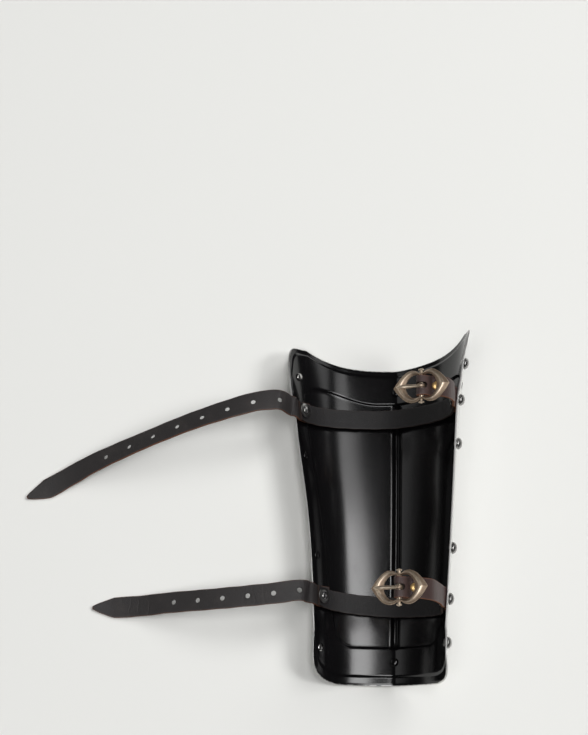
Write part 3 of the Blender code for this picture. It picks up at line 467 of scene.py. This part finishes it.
def makePlate():
    half = steps([plateColumns[key] for key in ("rib", "panel", "step", "flange")])

    def anglesAt(along):
        return columnAngle(half, np.full_like(half, along))

    start, wristStretch = cornerDrop(anglesAt(0.0), 0.0, plate["wristCorner"])
    end, elbowStretch = elbowEdge(anglesAt(plate["length"]))
    first = start + wristBorder["inset"][-1] * wristStretch
    last = end - elbowBorder["inset"][-1] * elbowStretch
    low = np.maximum(wristLineAt(anglesAt(plate["wristLine"])), first + plate["lineClear"])
    high = np.minimum(elbowLineAt(anglesAt(plate["elbowLine"])), last - plate["lineClear"])
    stepHalf = plate["stepWide"] / 2
    marks = np.stack([start, first, low - stepHalf, low + stepHalf,
                      high - stepHalf, high + stepHalf, last, end])
    rows = steps([plateRows[key] for key in
                  ("border", "cuff", "step", "body", "step", "cuff", "border")])
    whole = np.clip(np.floor(rows), 0, 6).astype(int)
    part = (rows - whole)[:, None]
    along = marks[whole] + (marks[whole + 1] - marks[whole]) * part
    column = np.broadcast_to(half, along.shape)
    angle = columnAngle(column, along)
    # how far each point is pressed out: the borders, the panel inside its four lines, the rib
    out = np.interp((along - start) / wristStretch, wristBorder["inset"], wristBorder["out"]) \
        * (whole[:, None] < 1)
    out = out + np.interp((end - along) / elbowStretch, elbowBorder["inset"], elbowBorder["out"]) \
        * (whole[:, None] > 5)
    inRows = smooth(rows - 2.0) * (1.0 - smooth(rows - 4.0))
    out = out + plate["panelHigh"] * inRows[:, None] * (1.0 - smooth(half - 2.0))[None, :]
    fromRib = np.abs(np.sin(angle)) * wallSize(along)[0] / plate["ribHalf"]
    ribAcross = 1.0 - smooth((fromRib - plate["ribFlat"]) / (1.0 - plate["ribFlat"]))
    ribEnd = np.minimum(along - plate["ribFrom"], plate["ribTo"] - along)
    ribAlong = smooth(ribEnd / plate["ribFade"])
    out = out + plate["ribHigh"] * ribAcross * ribAlong
    mirror = np.concatenate([np.arange(len(half))[:0:-1], np.arange(len(half))])
    sign = np.where(np.arange(len(mirror)) < len(half) - 1, -1.0, 1.0)
    angle, along, out = angle[:, mirror] * sign, along[:, mirror], out[:, mirror]
    inner = toFloor(wallPoint(angle, along, out))
    outer = toFloor(wallPoint(angle, along, out + plate["thick"]))
    rowCount, columnCount = inner.shape[:2]
    faces = gridFaces(rowCount, columnCount)
    shells = [(inner, faces, dict(inner=1.0)), (outer, faces[:, ::-1], {})]

    # the rim: a half circle carried round the outline, from the inner face to the outer
    r = np.concatenate([np.zeros(columnCount - 1, int), np.arange(rowCount - 1),
                        np.full(columnCount - 1, rowCount - 1), np.arange(rowCount - 1, 0, -1)])
    c = np.concatenate([np.arange(columnCount - 1), np.full(rowCount - 1, columnCount - 1),
                        np.arange(columnCount - 1, 0, -1), np.zeros(rowCount - 1, int)])
    inward = np.stack([np.clip(r, 1, rowCount - 2), np.clip(c, 1, columnCount - 2)])
    away = unit(inner[r, c] - inner[inward[0], inward[1]])
    swing = np.linspace(0.0, math.pi, bendOf["rim"])[None, :, None]
    middle = (inner[r, c] + outer[r, c])[:, None] / 2
    rim = middle + (inner[r, c] - outer[r, c])[:, None] / 2 * np.cos(swing) \
        + away[:, None] * plate["thick"] / 2 * np.sin(swing)
    shells.append((rim, gridFaces(len(r), bendOf["rim"], wrapRows=True), dict(rim=1.0)))
    return makePiece("steelPlate", shells, steel, "plate")


steelPlate = makePlate()
print("plate made:", len(steelPlate.data.polygons), "faces")


def wallFrame(angle, along):
    # the wall's outward normal and the direction along it, in the plate's axes
    small = 1e-5
    across = unit(wallPoint(angle + small, along) - wallPoint(angle - small, along))
    lengthwise = unit(wallPoint(angle, along + small) - wallPoint(angle, along - small))
    normal = unit(np.cross(lengthwise, across))
    away = np.array((math.sin(angle), 0.0, -math.cos(angle)))
    return normal * np.sign(normal @ away), lengthwise


def rivetAngle(along, inset):
    return math.acos(inset / wallSize(along)[1])


def turnedShell(profile, at, axis, around, extra=None):
    # a profile of radius and height turned a full circle about an axis through a point
    axis = unit(np.asarray(axis, float))
    side = unit(np.cross(axis, (0.31, 0.95, 0.05)))
    other = np.cross(axis, side)
    profile = np.asarray(profile, float)
    spin = fullTurn(around)[None, :, None]
    radius, height = profile[:, 0][:, None, None], profile[:, 1][:, None, None]
    points = at + radius * (np.cos(spin) * side + np.sin(spin) * other) + height * axis
    return points, gridFaces(len(profile), around, wrapColumns=True), (extra or {})


# rivets: a low dome outside, a spread end inside; the leather-holding ones end on a washer
rivetShape = sized(dome=4.4, high=3.0, seat=1.7, shank=1.6, spread=3.0, spreadHigh=1.0,
                   spreadLip=0.15, lip=0.35, lipEnd=0.4, bare=0.5, ridge=1.0, strapped=6.15,
                   washerAt=5.05)
# a washer's section: radius, and distance below its top
washerSection = ((1.9, 0.0), (5.4, 0.0), (5.6, 0.2), (5.6, 0.5), (5.2, 0.8), (2.2, 0.7),
                 (1.9, 0.5), (1.9, 0.0))
sideRivets = [dict(sized(left=left, right=right, inset=inset), name=name, strap=strap)
              for name, left, right, inset, strap in (
                  ("1", 26.0, 27.5, 7.6, None), ("2", 63.8, 58.8, 7.6, "wrist"),
                  ("3", 95.0, 95.8, 7.6, None), ("4", 172.0, 172.8, 7.6, None),
                  ("5", 206.5, 205.5, 7.6, "elbow"), ("6", 235.5, 234.0, 11.5, None))]
ridgeRivets = sized(wrist=17.2, elbow=227.0)
# how dull the rivets of each side and the washers are, and which rivets are black all over:
# black paint on the ridge rivets, and painted shade for the dark reflection on left_3 and left_4
dullness = dict(left=0.2, ridge=0.2, right=0.75, washer=0.55)
blackedAndShaded = ("left_3", "left_4", "ridge_wrist", "ridge_elbow")


def rivetProfile(stack):
    shape = rivetShape
    bend = np.radians(np.linspace(90.0, 0.0, bendOf["dome"]))
    dome = np.stack([shape["dome"] * np.cos(bend),
                     shape["seat"] + shape["high"] * np.sin(bend)], 1)
    shank = [(shape["dome"] * 0.97, shape["seat"] - shape["lip"]),
             (shape["shank"], shape["seat"] - shape["lipEnd"]),
             (shape["shank"], -stack), (shape["spread"] * 0.9, -stack)]
    bend = np.radians(np.linspace(0.0, 90.0, bendOf["spread"]))
    spread = np.stack([shape["spread"] * np.cos(bend), -stack - shape["spreadLip"]
                       - shape["spreadHigh"] * np.sin(bend)], 1)
    return np.vstack([dome, shank, spread])


def makeRivets():
    places = [(side, row["name"], sign * rivetAngle(row[side], row["inset"]), row[side],
               row["strap"]) for side, sign in (("left", -1), ("right", 1)) for row in sideRivets]
    places += [("ridge", key, 0.0, along, "ridge") for key, along in ridgeRivets.items()]
    for side, key, angle, along, kind in places:
        node, title = side + "_" + key, side.title() + key.title()
        normal = wallFrame(angle, along)[0] if angle else np.array((0.0, 0.0, -1.0))
        at, axis = toFloor(wallPoint(angle, along)), normal @ layTurn.T
        stack = rivetShape[{None: "bare", "ridge": "ridge"}.get(kind, "strapped")]
        # the listed black rivets take the hollow's black finish all over: black paint on the ridge
        # rivets, painted shade on left_3 and left_4
        shell = turnedShell(rivetProfile(stack), at, axis, sidesOf["rivet"],
                            dict(dull=dullness[side], inner=float(node in blackedAndShaded)))
        makePiece("rivet" + title, [shell], steel, "rivet_" + node,
                  crisp["rivet"])
        if kind in ("wrist", "elbow"):
            ring = [(radius * mm, -rivetShape["washerAt"] - down * mm)
                    for radius, down in washerSection]
            shell = turnedShell(ring, at, axis, sidesOf["washer"], dict(dull=dullness["washer"]))
            makePiece("washer" + title, [shell], steel, "washer_" + node,
                      crisp["rivet"])
    return len(places)


print("rivets made:", makeRivets())

# leather strips: a flat section with rounded corners carried along a path
strip = dict(sized(thick=1.8, corner=0.5), acrossParts=14, bendParts=4)
bandShape = dict(sized(reach=5.8, width=15.0, soft=14.0, under=0.3, between=0.45, ragged=0.12),
                 raggedTurns=71.0, parts=161)
bands = dict(elbow=sized(left=206.0, ridge=203.5, right=205.0),
             wrist=sized(left=64.0, ridge=57.2, right=55.8))
# route: across, along and up in millimetres on the floor's axes, and a tilt in degrees
straps = dict(
    elbow=dict(sized(first=21.5, pitch=20.6), holes=8, route=(
        (-90.6, 209.0, 39.6, 0.0), (-99.3, 209.0, 40.4, 2.0), (-117.5, 205.5, 39.5, 8.0),
        (-155.5, 193.5, 33.5, 20.0), (-194.5, 179.0, 23.5, 24.0), (-232.0, 164.0, 11.0, 14.0),
        (-252.5, 153.5, 4.6, 6.0), (-271.0, 143.0, 1.2, 0.0), (-286.5, 135.5, 1.1, 0.0))),
    wrist=dict(sized(first=17.0, pitch=19.4), holes=6, route=(
        (-69.5, 65.5, 30.3, 0.0), (-77.0, 65.0, 31.5, 0.0), (-92.5, 62.5, 31.0, 0.0),
        (-131.5, 58.5, 24.5, 2.0), (-169.5, 56.0, 12.5, 3.0), (-191.5, 54.0, 5.0, 2.0),
        (-213.0, 52.5, 1.25, 0.0), (-229.5, 52.0, 1.15, 0.0))),
)
# over the plate's edge: up, out and the share of the drift along the plate
strapOverEdge = ((0.0, -0.2, 0.2), (3.6, 0.3, 0.45), (6.8, 3.0, 0.75))
strapShape = dict(sized(width=15.6, point=17.0, tip=1.0, hole=1.9, punch=4.0, offset=1.3,
                        ragged=0.10, held=(-8.0, -4.0, 0.0, 3.8)),
                  rounding=0.8, raggedTurns=310.0, settles=4.0, parts=16)


def stripSection(halves):
    # across and up for each section: four straight sides joined by four quarter circles
    corner, high = strip["corner"], strip["thick"] / 2
    flat = np.linspace(-1.0, 1.0, strip["acrossParts"] + 1)
    bend = np.linspace(0.0, math.pi / 2, strip["bendParts"] + 1)[1:-1]
    edge = (halves - corner)[:, None] * flat
    top = np.full_like(edge, high)
    reachOut, reachUp = corner * np.sin(bend), corner * np.cos(bend)
    reach = np.concatenate([reachOut, [corner, corner], reachOut[::-1]])
    side = (halves - corner)[:, None] + reach
    sideUp = np.concatenate([high - corner + reachUp, [high - corner, corner - high],
                             -(high - corner + reachUp[::-1])])
    sideUp = np.broadcast_to(sideUp, side.shape)
    across = np.concatenate([edge, side, edge[:, ::-1], -side[:, ::-1]], 1)
    up = np.concatenate([top, sideUp, -top, sideUp[:, ::-1]], 1)
    cut = np.zeros(across.shape[1])
    cut[len(flat) + 1:len(flat) + len(reach) - 1] = 1.0
    cut[1 - len(reach):-1] = 1.0
    return across, up, cut


def closedStrip(points, run, shares, cut):
    # rings joined into a strip, its ends closed by fans; each point keeps how far along and
    # across it is and whether it is on a cut side
    count, ring = points.shape[:2]
    extra = dict(cut=np.tile(cut, count), along=np.repeat(run, ring), across=shares.reshape(-1))
    shells = [(points, gridFaces(count, ring, wrapColumns=True), extra)]
    for k in (0, -1):
        fan = np.vstack([points[k], points[k].mean(0, keepdims=True)])
        shells.append((fan, [(i, (i + 1) % ring, ring) for i in range(ring)], dict(cut=1.0)))
    return shells


def stripShells(path, sides, halves):
    # the section carried along the path, its width along sides
    tangents = unit(np.gradient(path, axis=0))
    sides = unit(sides - tangents * (sides * tangents).sum(1)[:, None])
    normals = np.cross(sides, tangents)
    across, up, cut = stripSection(halves)
    points = path[:, None] + sides[:, None] * across[..., None] + normals[:, None] * up[..., None]
    return closedStrip(points, runAlong(path), across / halves[:, None], cut), normals


def arcAngle(along, start, distance):
    half, deep = wallSize(along)
    return start + distance / math.hypot(half * math.cos(start), deep * math.sin(start))


def heldOnWall(along, angle, sign):
    # the riveted end of a strip, from its tail to a little past the rivet, just inside the wall
    angles = np.array([arcAngle(along, angle, distance) for distance in strapShape["held"]])
    return wallPoint(sign * angles, along, -strapShape["offset"])


def makeBand(key, row):
    # each cut across the band runs along the plate, so the band follows the wall all the way
    look, shape = bands[key], bandShape
    half = shape["width"] / 2
    right, left = (arcAngle(along, rivetAngle(along, row["inset"]), shape["reach"])
                   for along in (row["right"], row["left"]))
    left = -left
    share = np.linspace(0.0, 1.0, shape["parts"])
    angle = left + (right - left) * share
    sag = look["ridge"] - (look["left"] + look["right"]) / 2
    centre = look["left"] + (look["right"] - look["left"]) * share + sag * 4 * share * (1 - share)
    across, up, cut = stripSection(np.full(len(share), half))
    ragged = shape["ragged"] * np.sin(share * shape["raggedTurns"])[:, None] \
        * np.abs(across / half) ** 6
    depth = shape["under"] + strip["thick"] + shape["between"] + strip["thick"] / 2
    points = toFloor(wallPoint(angle[:, None], centre[:, None] + across + ragged, -depth - up,
                               shape["soft"]))
    shells = closedStrip(points, runAlong(points[:, 0]), across / half, cut)
    makePiece(key + "BandLeather", shells, leathers["bandLeather"], key + "_band",
              crisp["leather"])


def punch(piece, shells):
    # takes closed shells out of a piece; the cutters made from them don't stay
    cutters = [makePiece(f"cutter{i}", [shell], leathers["brownLeather"])
               for i, shell in enumerate(shells)]
    for cutter in cutters:
        step = piece.modifiers.new("Punch", "BOOLEAN")
        step.operation = "DIFFERENCE"
        step.object = cutter
        step.solver = "EXACT"
    bpy.context.view_layer.update()
    ready = bpy.data.meshes.new_from_object(
        piece.evaluated_get(bpy.context.evaluated_depsgraph_get()))
    piece.modifiers.clear()
    piece.data = ready
    for cutter in cutters:
        bpy.data.objects.remove(cutter)
    piece.data.set_sharp_from_angle(angle=math.radians(crisp["leather"]))


def makeStrap(key, row):
    # riveted to the wall, bent over the edge, then out and down to the floor
    look, shape = straps[key], strapShape
    along = row["left"]
    angle = rivetAngle(along, row["inset"])
    held = heldOnWall(along, angle, -1)
    edge = wallPoint(-math.pi / 2, along, -shape["offset"])
    route = np.array(look["route"])
    drift = route[0, 1] * mm - along
    over = np.array([edge + (-out * mm, drift * share, up * mm)
                     for up, out, share in strapOverEdge])
    fixed = toFloor(np.vstack([held, over]))
    knots = np.vstack([fixed, np.array(lay["origin"]) + route[:, :3] * mm])
    path = throughPoints(knots, shape["parts"])
    tiltRows = np.concatenate([np.zeros(len(fixed)), route[:, 3]])
    share = np.linspace(0.0, len(knots) - 1, len(path))
    tilts = np.radians(np.interp(share, np.arange(len(knots)), tiltRows))[:, None]
    tangents = unit(np.gradient(path, axis=0))
    flat = unit(np.stack([tangents[:, 1], -tangents[:, 0], 0.0 * share], 1))
    normals = np.cross(tangents, flat)
    normals = normals * np.sign(normals[:, 2:3])
    sides = flat * np.cos(tilts) - normals * np.sin(tilts)
    sides = sides * np.sign(sides[:, 1:2])
    loose = smooth((share - len(held)) / shape["settles"])[:, None]
    wallSide = wallFrame(-angle, along)[1] @ layTurn.T
    sides = wallSide * (1.0 - loose) + sides * loose
    run = runAlong(path)
    left = np.clip((run[-1] - run) / shape["point"], 0.0, 1.0)
    halves = shape["tip"] + (shape["width"] / 2 - shape["tip"]) * left ** shape["rounding"]
    halves = halves + shape["ragged"] * np.sin(run * shape["raggedTurns"]) * (left >= 1.0)
    shells, normals = stripShells(path, sides, halves)
    piece = makePiece(key + "StrapLeather", shells, leathers["blackLeather"], key + "_strap",
                      crisp["leather"])
    first = run[shape["parts"] * len(held)] + look["first"]
    tube = [(0.0, -shape["punch"]), (shape["hole"], -shape["punch"]),
            (shape["hole"], shape["punch"]), (0.0, shape["punch"])]
    holes = []
    for i in range(look["holes"]):
        at = first + look["pitch"] * i
        centre, normal = (np.array([np.interp(at, run, rows[:, k]) for k in range(3)])
                          for rows in (path, normals))
        holes.append(turnedShell(tube, centre, normal, sidesOf["hole"]))
    punch(piece, holes)


for row in sideRivets:
    if row["strap"]:
        makeBand(row["strap"], row)
        makeStrap(row["strap"], row)
print("bands and straps made")

# buckles: the bar's place in the plate's section and the route of the short strap below it
buckles = dict(
    elbow=dict(bar=(49.2 * mm, 85.6 * mm), drift=-2.6 * mm, fold=-31.0, slope=6.0,
               route=((62.6, 77.2), (65.4, 70.0), (64.8, 58.0))),
    wrist=dict(bar=(30.6 * mm, 78.5 * mm), drift=1.0 * mm, fold=-29.0, slope=7.0,
               route=((45.9, 70.8), (50.4, 63.5), (50.7, 50.0))),
)
fold = dict(sized(width=14.8, tail=14.2, rivet=10.5, opens=2.4, closes=7.2, play=0.5, bar=1.5,
                  gap=0.3, kink=4.0, ragged=0.12, slotWide=4.4, slotReach=3.6, slotBack=7.0,
                  slotDeep=8.0),
            wrapAngles=(35.0, 90.0, 145.0), raggedTurns=45.0, slotBlunt=0.7, parts=14)


def buckleAxes(key, row, degrees):
    # the bar's centre on the floor's axes, and the buckle's own along, bar and up directions
    look = buckles[key]
    lean = math.radians(degrees)
    centre = np.array((look["bar"][0], row["right"] + look["drift"], look["bar"][1]))
    axes = np.array(((math.cos(lean), 0.0, math.sin(lean)), (0.0, 1.0, 0.0),
                     (-math.sin(lean), 0.0, math.cos(lean))))
    return toFloor(centre), axes @ layTurn.T


def makeBuckleStrap(key, row):
    # a short tail, the bend round the bar, then the long side down to the wall and its rivet
    look = buckles[key]
    along = row["right"]
    bar = np.array(look["bar"])
    lean = math.radians(look["fold"])
    reach = np.array((math.cos(lean), math.sin(lean)))
    up = np.array((-reach[1], reach[0]))
    wrap = fold["bar"] + fold["play"] + strip["thick"] / 2
    close = (strip["thick"] + fold["gap"]) / 2
    plan = [(fold["tail"], -close), (fold["rivet"], -close), (fold["closes"], -close),
            (fold["opens"], -wrap)]
    plan += [(-wrap * math.sin(a), -wrap * math.cos(a)) for a in np.radians(fold["wrapAngles"])]
    plan += [(fold["opens"], wrap), (fold["closes"], close), (fold["rivet"], close)]
    section = [bar + reach * a + up * b for a, b in plan]
    section += [np.array(p) * mm for p in look["route"]]
    edge = wallPoint(math.pi / 2, along, -strapShape["offset"] - fold["gap"])
    angle = rivetAngle(along, row["inset"])
    rooted = heldOnWall(along, angle, 1)[::-1]
    root = [(edge[0], edge[2] + fold["kink"]), (edge[0], edge[2])] + [(p[0], p[2]) for p in rooted]
    flat = throughPoints(np.array(section + root), fold["parts"])
    rise = np.clip((flat[:, 1] - edge[2]) / (bar[1] - edge[2]), 0.0, 1.0)
    path = np.stack([flat[:, 0], along + look["drift"] * rise, flat[:, 1]], 1)
    onto = smooth((np.arange(len(path)) / fold["parts"] - len(section) + 1.0) / 2.0)[:, None]
    sides = np.array((0.0, 1.0, 0.0)) * (1.0 - onto) + wallFrame(angle, along)[1] * onto
    ragged = fold["ragged"] * np.sin(np.linspace(0.0, 1.0, len(path)) * fold["raggedTurns"])
    shells, _ = stripShells(toFloor(path), sides @ layTurn.T, fold["width"] / 2 + ragged)
    piece = makePiece(key + "BuckleStrapLeather", shells, leathers["brownLeather"],
                      key + "_buckle_strap", crisp["leather"])
    # the slot for the tongue, with a rounded end
    centre, axes = buckleAxes(key, row, look["fold"])
    r, deep = fold["slotWide"] / 2, fold["slotDeep"]
    blunt = r * fold["slotBlunt"]
    outline = [(fold["slotReach"] - blunt + blunt * math.cos(a), r * math.sin(a))
               for a in np.linspace(-math.pi / 2, math.pi / 2, bendOf["slot"])]
    outline = [(-fold["slotBack"], -r)] + outline + [(-fold["slotBack"], r)]
    points = np.array([(a, b, c) for c in (-deep, deep) for a, b in outline])
    count = len(outline)
    faces = [(i, (i + 1) % count, count + (i + 1) % count, count + i) for i in range(count)]
    faces += [tuple(range(count)), tuple(range(count, 2 * count))]
    punch(piece, [(centre + points @ axes, faces, {})])


# one quarter of the frame, from its point to the waist: outer and inner outline and how sharp
# its ridge is there; back is the flat side, as shares of the width and of half the thickness
buckleFrame = dict(
    outer=((21.6, 0.0), (19.5, 3.1), (16.6, 6.6), (13.0, 9.9), (8.8, 11.8), (4.8, 11.6),
           (1.9, 10.1), (0.0, 9.8)),
    inner=((12.4, 0.0), (12.0, 2.4), (10.8, 5.0), (8.8, 7.2), (6.3, 8.6), (3.6, 8.7),
           (1.6, 8.2), (0.0, 7.9)),
    ridge=(1.0, 0.9, 0.7, 0.5, 0.4, 0.4, 0.4, 0.4),
    backShare=(1.0, 0.93, 0.75, 0.5, 0.25, 0.07, 0.0),
    backDown=(0.55, 0.86, 0.97, 1.0, 0.97, 0.86, 0.5),
    thick=3.4 * mm, parts=8, flank=9, softPower=1.9, sharpening=0.95, shoulder=0.28, rise=0.47,
    ridgeRise=0.5)
buckleBar = sized(half=9.3, radius=1.5)
buckleLugs = (dict(sized(out=9.2, to=13.2, wide=0.9, high=0.9), cross=False),
              dict(sized(out=12.1, to=2.1, wide=0.65, high=0.8), cross=True))


def roundedBar(centre, axes, start, end, wide, high):
    # a bar between two points in the buckle's axes: an ellipse whose size falls to nothing at
    # both ends by a rounded curve
    around = sidesOf["bar"]
    start, end = np.array(start), np.array(end)
    length = np.linalg.norm(end - start)
    way = (end - start) / length
    side = unit(np.cross(way, (0.0, 0.0, 1.0)))
    t = 0.5 - 0.5 * np.cos(np.linspace(0.0, math.pi, around))
    near = np.minimum(t, 1.0 - t) * length / wide
    size = np.sqrt(np.clip(1.0 - (1.0 - np.clip(near, 0, 1)) ** 2, 1e-4, 1))
    spin = fullTurn(around)
    square = 1.0 / (np.abs(np.cos(spin)) ** 4 + np.abs(np.sin(spin)) ** 4) ** 0.25
    ring = side * (wide * np.cos(spin) * square)[:, None] \
        + np.array((0.0, 0.0, 1.0)) * (high * np.sin(spin) * square)[:, None]
    points = start + way * (t * length)[:, None, None] + ring * size[:, None, None]
    return centre + points @ axes, gridFaces(around, around, wrapColumns=True), dict(raised=0.75)


def makeBuckleFrame(key, row):
    # a section with one raised ridge swept round the outline: the flanks rise to the ridge by
    # a power that is sharp at the points and soft at the waist, and the back is flat
    centre, axes = buckleAxes(key, row, buckles[key]["slope"])
    look = buckleFrame
    outer = throughPoints(look["outer"], look["parts"]) * mm
    inner = throughPoints(look["inner"], look["parts"]) * mm
    ridge = throughPoints(np.array(look["ridge"])[:, None], look["parts"])[:, 0]
    there = np.arange(len(outer) - 1)
    back = there[::-1] + 1
    picks = np.concatenate([there, back, there, back])
    signs = np.repeat(np.array(((1, 1), (-1, 1), (-1, -1), (1, -1))), len(there), 0)
    outer, inner, ridge = outer[picks] * signs, inner[picks] * signs, ridge[picks][:, None]
    half = look["thick"] / 2
    share = np.linspace(0.0, 1.0, 2 * look["flank"] + 1)
    away = np.abs(2.0 * share - 1.0)[None, :]
    power = look["softPower"] - look["sharpening"] * ridge
    top = half * (look["shoulder"] + (look["rise"] + look["ridgeRise"] * ridge)
                  * (1.0 - away ** power))
    low = np.broadcast_to(-half * np.array(look["backDown"]), (len(outer), len(look["backDown"])))
    across = np.concatenate([np.broadcast_to(share, top.shape),
                             np.broadcast_to(look["backShare"], low.shape)], 1)
    up = np.concatenate([top, low], 1)
    flatPoints = outer[:, None] + (inner - outer)[:, None] * across[..., None]
    points = np.concatenate([flatPoints, up[..., None]], 2)
    # rubbed along the ridge and a little along both outlines
    raised = np.concatenate([np.exp(-(away / 0.34) ** 2) * (0.45 + 0.55 * ridge)
                             + 0.25 * np.exp(-((1 - away) / 0.10) ** 2), np.zeros(low.shape)], 1)
    shells = [(centre + points @ axes, gridFaces(len(outer), up.shape[1], True, True),
               dict(raised=raised.reshape(-1)))]
    end, radius = buckleBar["half"], buckleBar["radius"]
    shells.append(roundedBar(centre, axes, (0, -end, 0), (0, end, 0), radius, radius))
    for lug in buckleLugs:
        for side in (-1, 1):
            out, to = side * lug["out"], lug["to"]
            ends = ((-to, out, 0.0), (to, out, 0.0)) if lug["cross"] \
                else ((0.0, out, 0.0), (0.0, side * to, 0.0))
            shells.append(roundedBar(centre, axes, *ends, lug["wide"], lug["high"]))
    makePiece(key + "BuckleFrameBronze", shells, bronze, key + "_buckle_frame",
              crisp["frame"], key + "_buckle")


# the tongue: reach from the bar, height of its middle, half width and half thickness
tongue = dict(stations=((0.0, 0.6, 1.25, 1.2), (5.0, 1.3, 1.25, 1.1), (10.0, 2.3, 1.4, 1.0),
                        (14.0, 3.25, 1.3, 0.9), (17.2, 3.2, 0.95, 0.6), (18.5, 3.1, 0.35, 0.3)),
              parts=8, **sized(hub=2.9, bore=1.8, wide=1.4, bevel=0.3))


def makeTongue(key, row):
    # an ellipse carried along the pin's middle line, and a ring turned about the bar
    centre, axes = buckleAxes(key, row, buckles[key]["slope"])
    line = throughPoints(tongue["stations"], tongue["parts"]) * mm
    around = sidesOf["tongue"]
    spin = fullTurn(around)
    points = np.stack([np.broadcast_to(-line[:, 0:1], (len(line), around)),
                       line[:, 2:3] * np.cos(spin), line[:, 1:2] + line[:, 3:4] * np.sin(spin)], 2)
    tip = points[-1].mean(0, keepdims=True)
    points = np.concatenate([points, np.broadcast_to(tip, (1, around, 3))])
    raised = np.broadcast_to(0.35 + 0.65 * np.clip(np.sin(spin), 0, 1), (len(points), around))
    shells = [(centre + points @ axes, gridFaces(len(points), around, wrapColumns=True),
               dict(raised=raised.reshape(-1)))]
    bore, hub, wide, bevel = (tongue[part] for part in ("bore", "hub", "wide", "bevel"))
    ring = [(bore, -wide), (hub - bevel, -wide), (hub, bevel - wide), (hub, wide - bevel),
            (hub - bevel, wide), (bore, wide), (bore, -wide)]
    shells.append(turnedShell(ring, centre, axes[1], sidesOf["hub"], dict(raised=0.3)))
    makePiece(key + "TongueBronze", shells, bronze, key + "_buckle_tongue",
              crisp["tongue"], key + "_tongue")


# the small brass rivet through the fold
stud = sized(head=3.2, high=1.7, shank=1.2, back=2.4, backHigh=0.8, lip=0.2)


def makeStud(key, row):
    centre, axes = buckleAxes(key, row, buckles[key]["fold"])
    seat = strip["thick"] + fold["gap"] / 2 + fold["gap"]
    bend = np.radians(np.linspace(90.0, 0.0, bendOf["stud"]))
    dome = np.stack([stud["head"] * np.cos(bend), seat + stud["high"] * np.sin(bend) ** 0.9], 1)
    below = [(stud["head"] * 0.96, seat - stud["lip"]), (stud["shank"], seat - stud["lip"]),
             (stud["shank"], -seat), (stud["back"], -seat),
             (stud["back"] * 0.85, -seat - stud["backHigh"]), (0.0, -seat - stud["backHigh"])]
    raised = np.concatenate([np.linspace(1.0, 0.3, len(dome)), np.zeros(len(below))])
    shell = turnedShell(np.vstack([dome, below]), centre + axes[0] * fold["rivet"], axes[2],
                        sidesOf["rivet"], dict(raised=np.repeat(raised, sidesOf["rivet"])))
    makePiece(key + "StudBrass", [shell], brass, key + "_buckle_rivet", crisp["rivet"])


for row in sideRivets:
    if row["strap"]:
        for make in (makeBuckleStrap, makeBuckleFrame, makeTongue, makeStud):
            make(row["strap"], row)
print("buckles made")

# the studio: a pale floor and seven softboxes; towards is seen from just above the part, and
# a lamp without gloss lights the part but isn't mirrored in it
studio = dict(floor=(0.80, 0.80, 0.775), floorSize=9.0, backdrop=0.86, air=0.02,
              aim=(0.10, 0.0, 0.04))
lamps = dict(
    right=dict(towards=(0.75, 0.05, 0.66), away=6.0, size=(1.9, 1.8), power=155.0, gloss=False),
    farRight=dict(towards=(0.50, 0.55, 0.67), away=6.0, size=(2.6, 2.6), power=120.0, gloss=False),
    rightGlow=dict(towards=(0.52, 0.52, 0.68), away=6.0, size=(1.4, 3.2), power=18.0),
    overhead=dict(towards=(0.105, 0.018, 0.99), away=3.4, size=(1.32, 0.88), power=27.0),
    overheadBack=dict(towards=(0.10, 0.30, 0.95), away=3.5, size=(0.80, 0.95), power=5.4),
    front=dict(towards=(-0.18, -0.30, 0.94), away=5.0, size=(2.0, 2.0), power=64.0),
    faintLeft=dict(towards=(-0.90, 0.20, 0.39), away=4.0, size=(2.0, 1.3), power=5.0),
)


def makeStudio():
    half = studio["floorSize"]
    mesh = bpy.data.meshes.new("floor")
    mesh.from_pydata([(-half, -half, 0), (half, -half, 0), (half, half, 0), (-half, half, 0)], [],
                     [(0, 1, 2, 3)])
    newObject("floor", mesh)
    material, at, finish = newMaterial("paleFloor",
                                       {"Roughness": 0.9, "Specular IOR Level": 0.1})
    tone = at.noise(2.0, 2.0)
    finish(Base_Color=tone.mix(studio["floor"], tuple(0.99 * part for part in studio["floor"])))
    mesh.materials.append(material)
    for name, row in lamps.items():
        light = bpy.data.lights.new(name, "AREA")
        light.shape = "RECTANGLE"
        light.size, light.size_y = row["size"]
        light.energy = row["power"]
        lamp = newObject(name, light)
        towards = Vector(row["towards"]).normalized()
        lamp.location = Vector(studio["aim"]) + towards * row["away"]
        lamp.rotation_euler = towards.to_track_quat("Z", "Y").to_euler()
        lamp.visible_glossy = row.get("gloss", True)
    world = bpy.data.worlds.new("studioAir")
    bpy.context.scene.world = world
    world.use_nodes = True
    tree = world.node_tree
    sky = tree.nodes["Background"]
    seen = Wire(tree, tree.nodes.new("ShaderNodeLightPath").outputs["Is Camera Ray"])
    air, back = (tuple([studio[key]] * 3) for key in ("air", "backdrop"))
    tree.links.new(seen.mix(air, back).socket, sky.inputs["Color"])


# the camera: where it stands, which way it looks and how it is turned
shot = dict(at=(46.5 * mm, -230.6 * mm, 1106.3 * mm), elevation=72.5, turned=1.72, lens=71.02,
            sensor=36.0)


def makeCamera():
    data = bpy.data.cameras.new("shot")
    data.lens = shot["lens"]
    data.sensor_width = shot["sensor"]
    camera = newObject("shot", data)
    camera.location = shot["at"]
    camera.rotation_euler = [math.radians(part) for part in
                             (90.0 - shot["elevation"], 0.0, shot["turned"])]
    bpy.context.scene.camera = camera


makeStudio()
makeCamera()
bpy.context.scene.view_settings.view_transform = "Standard"
print("studio and camera made")

bpy.context.view_layer.update()
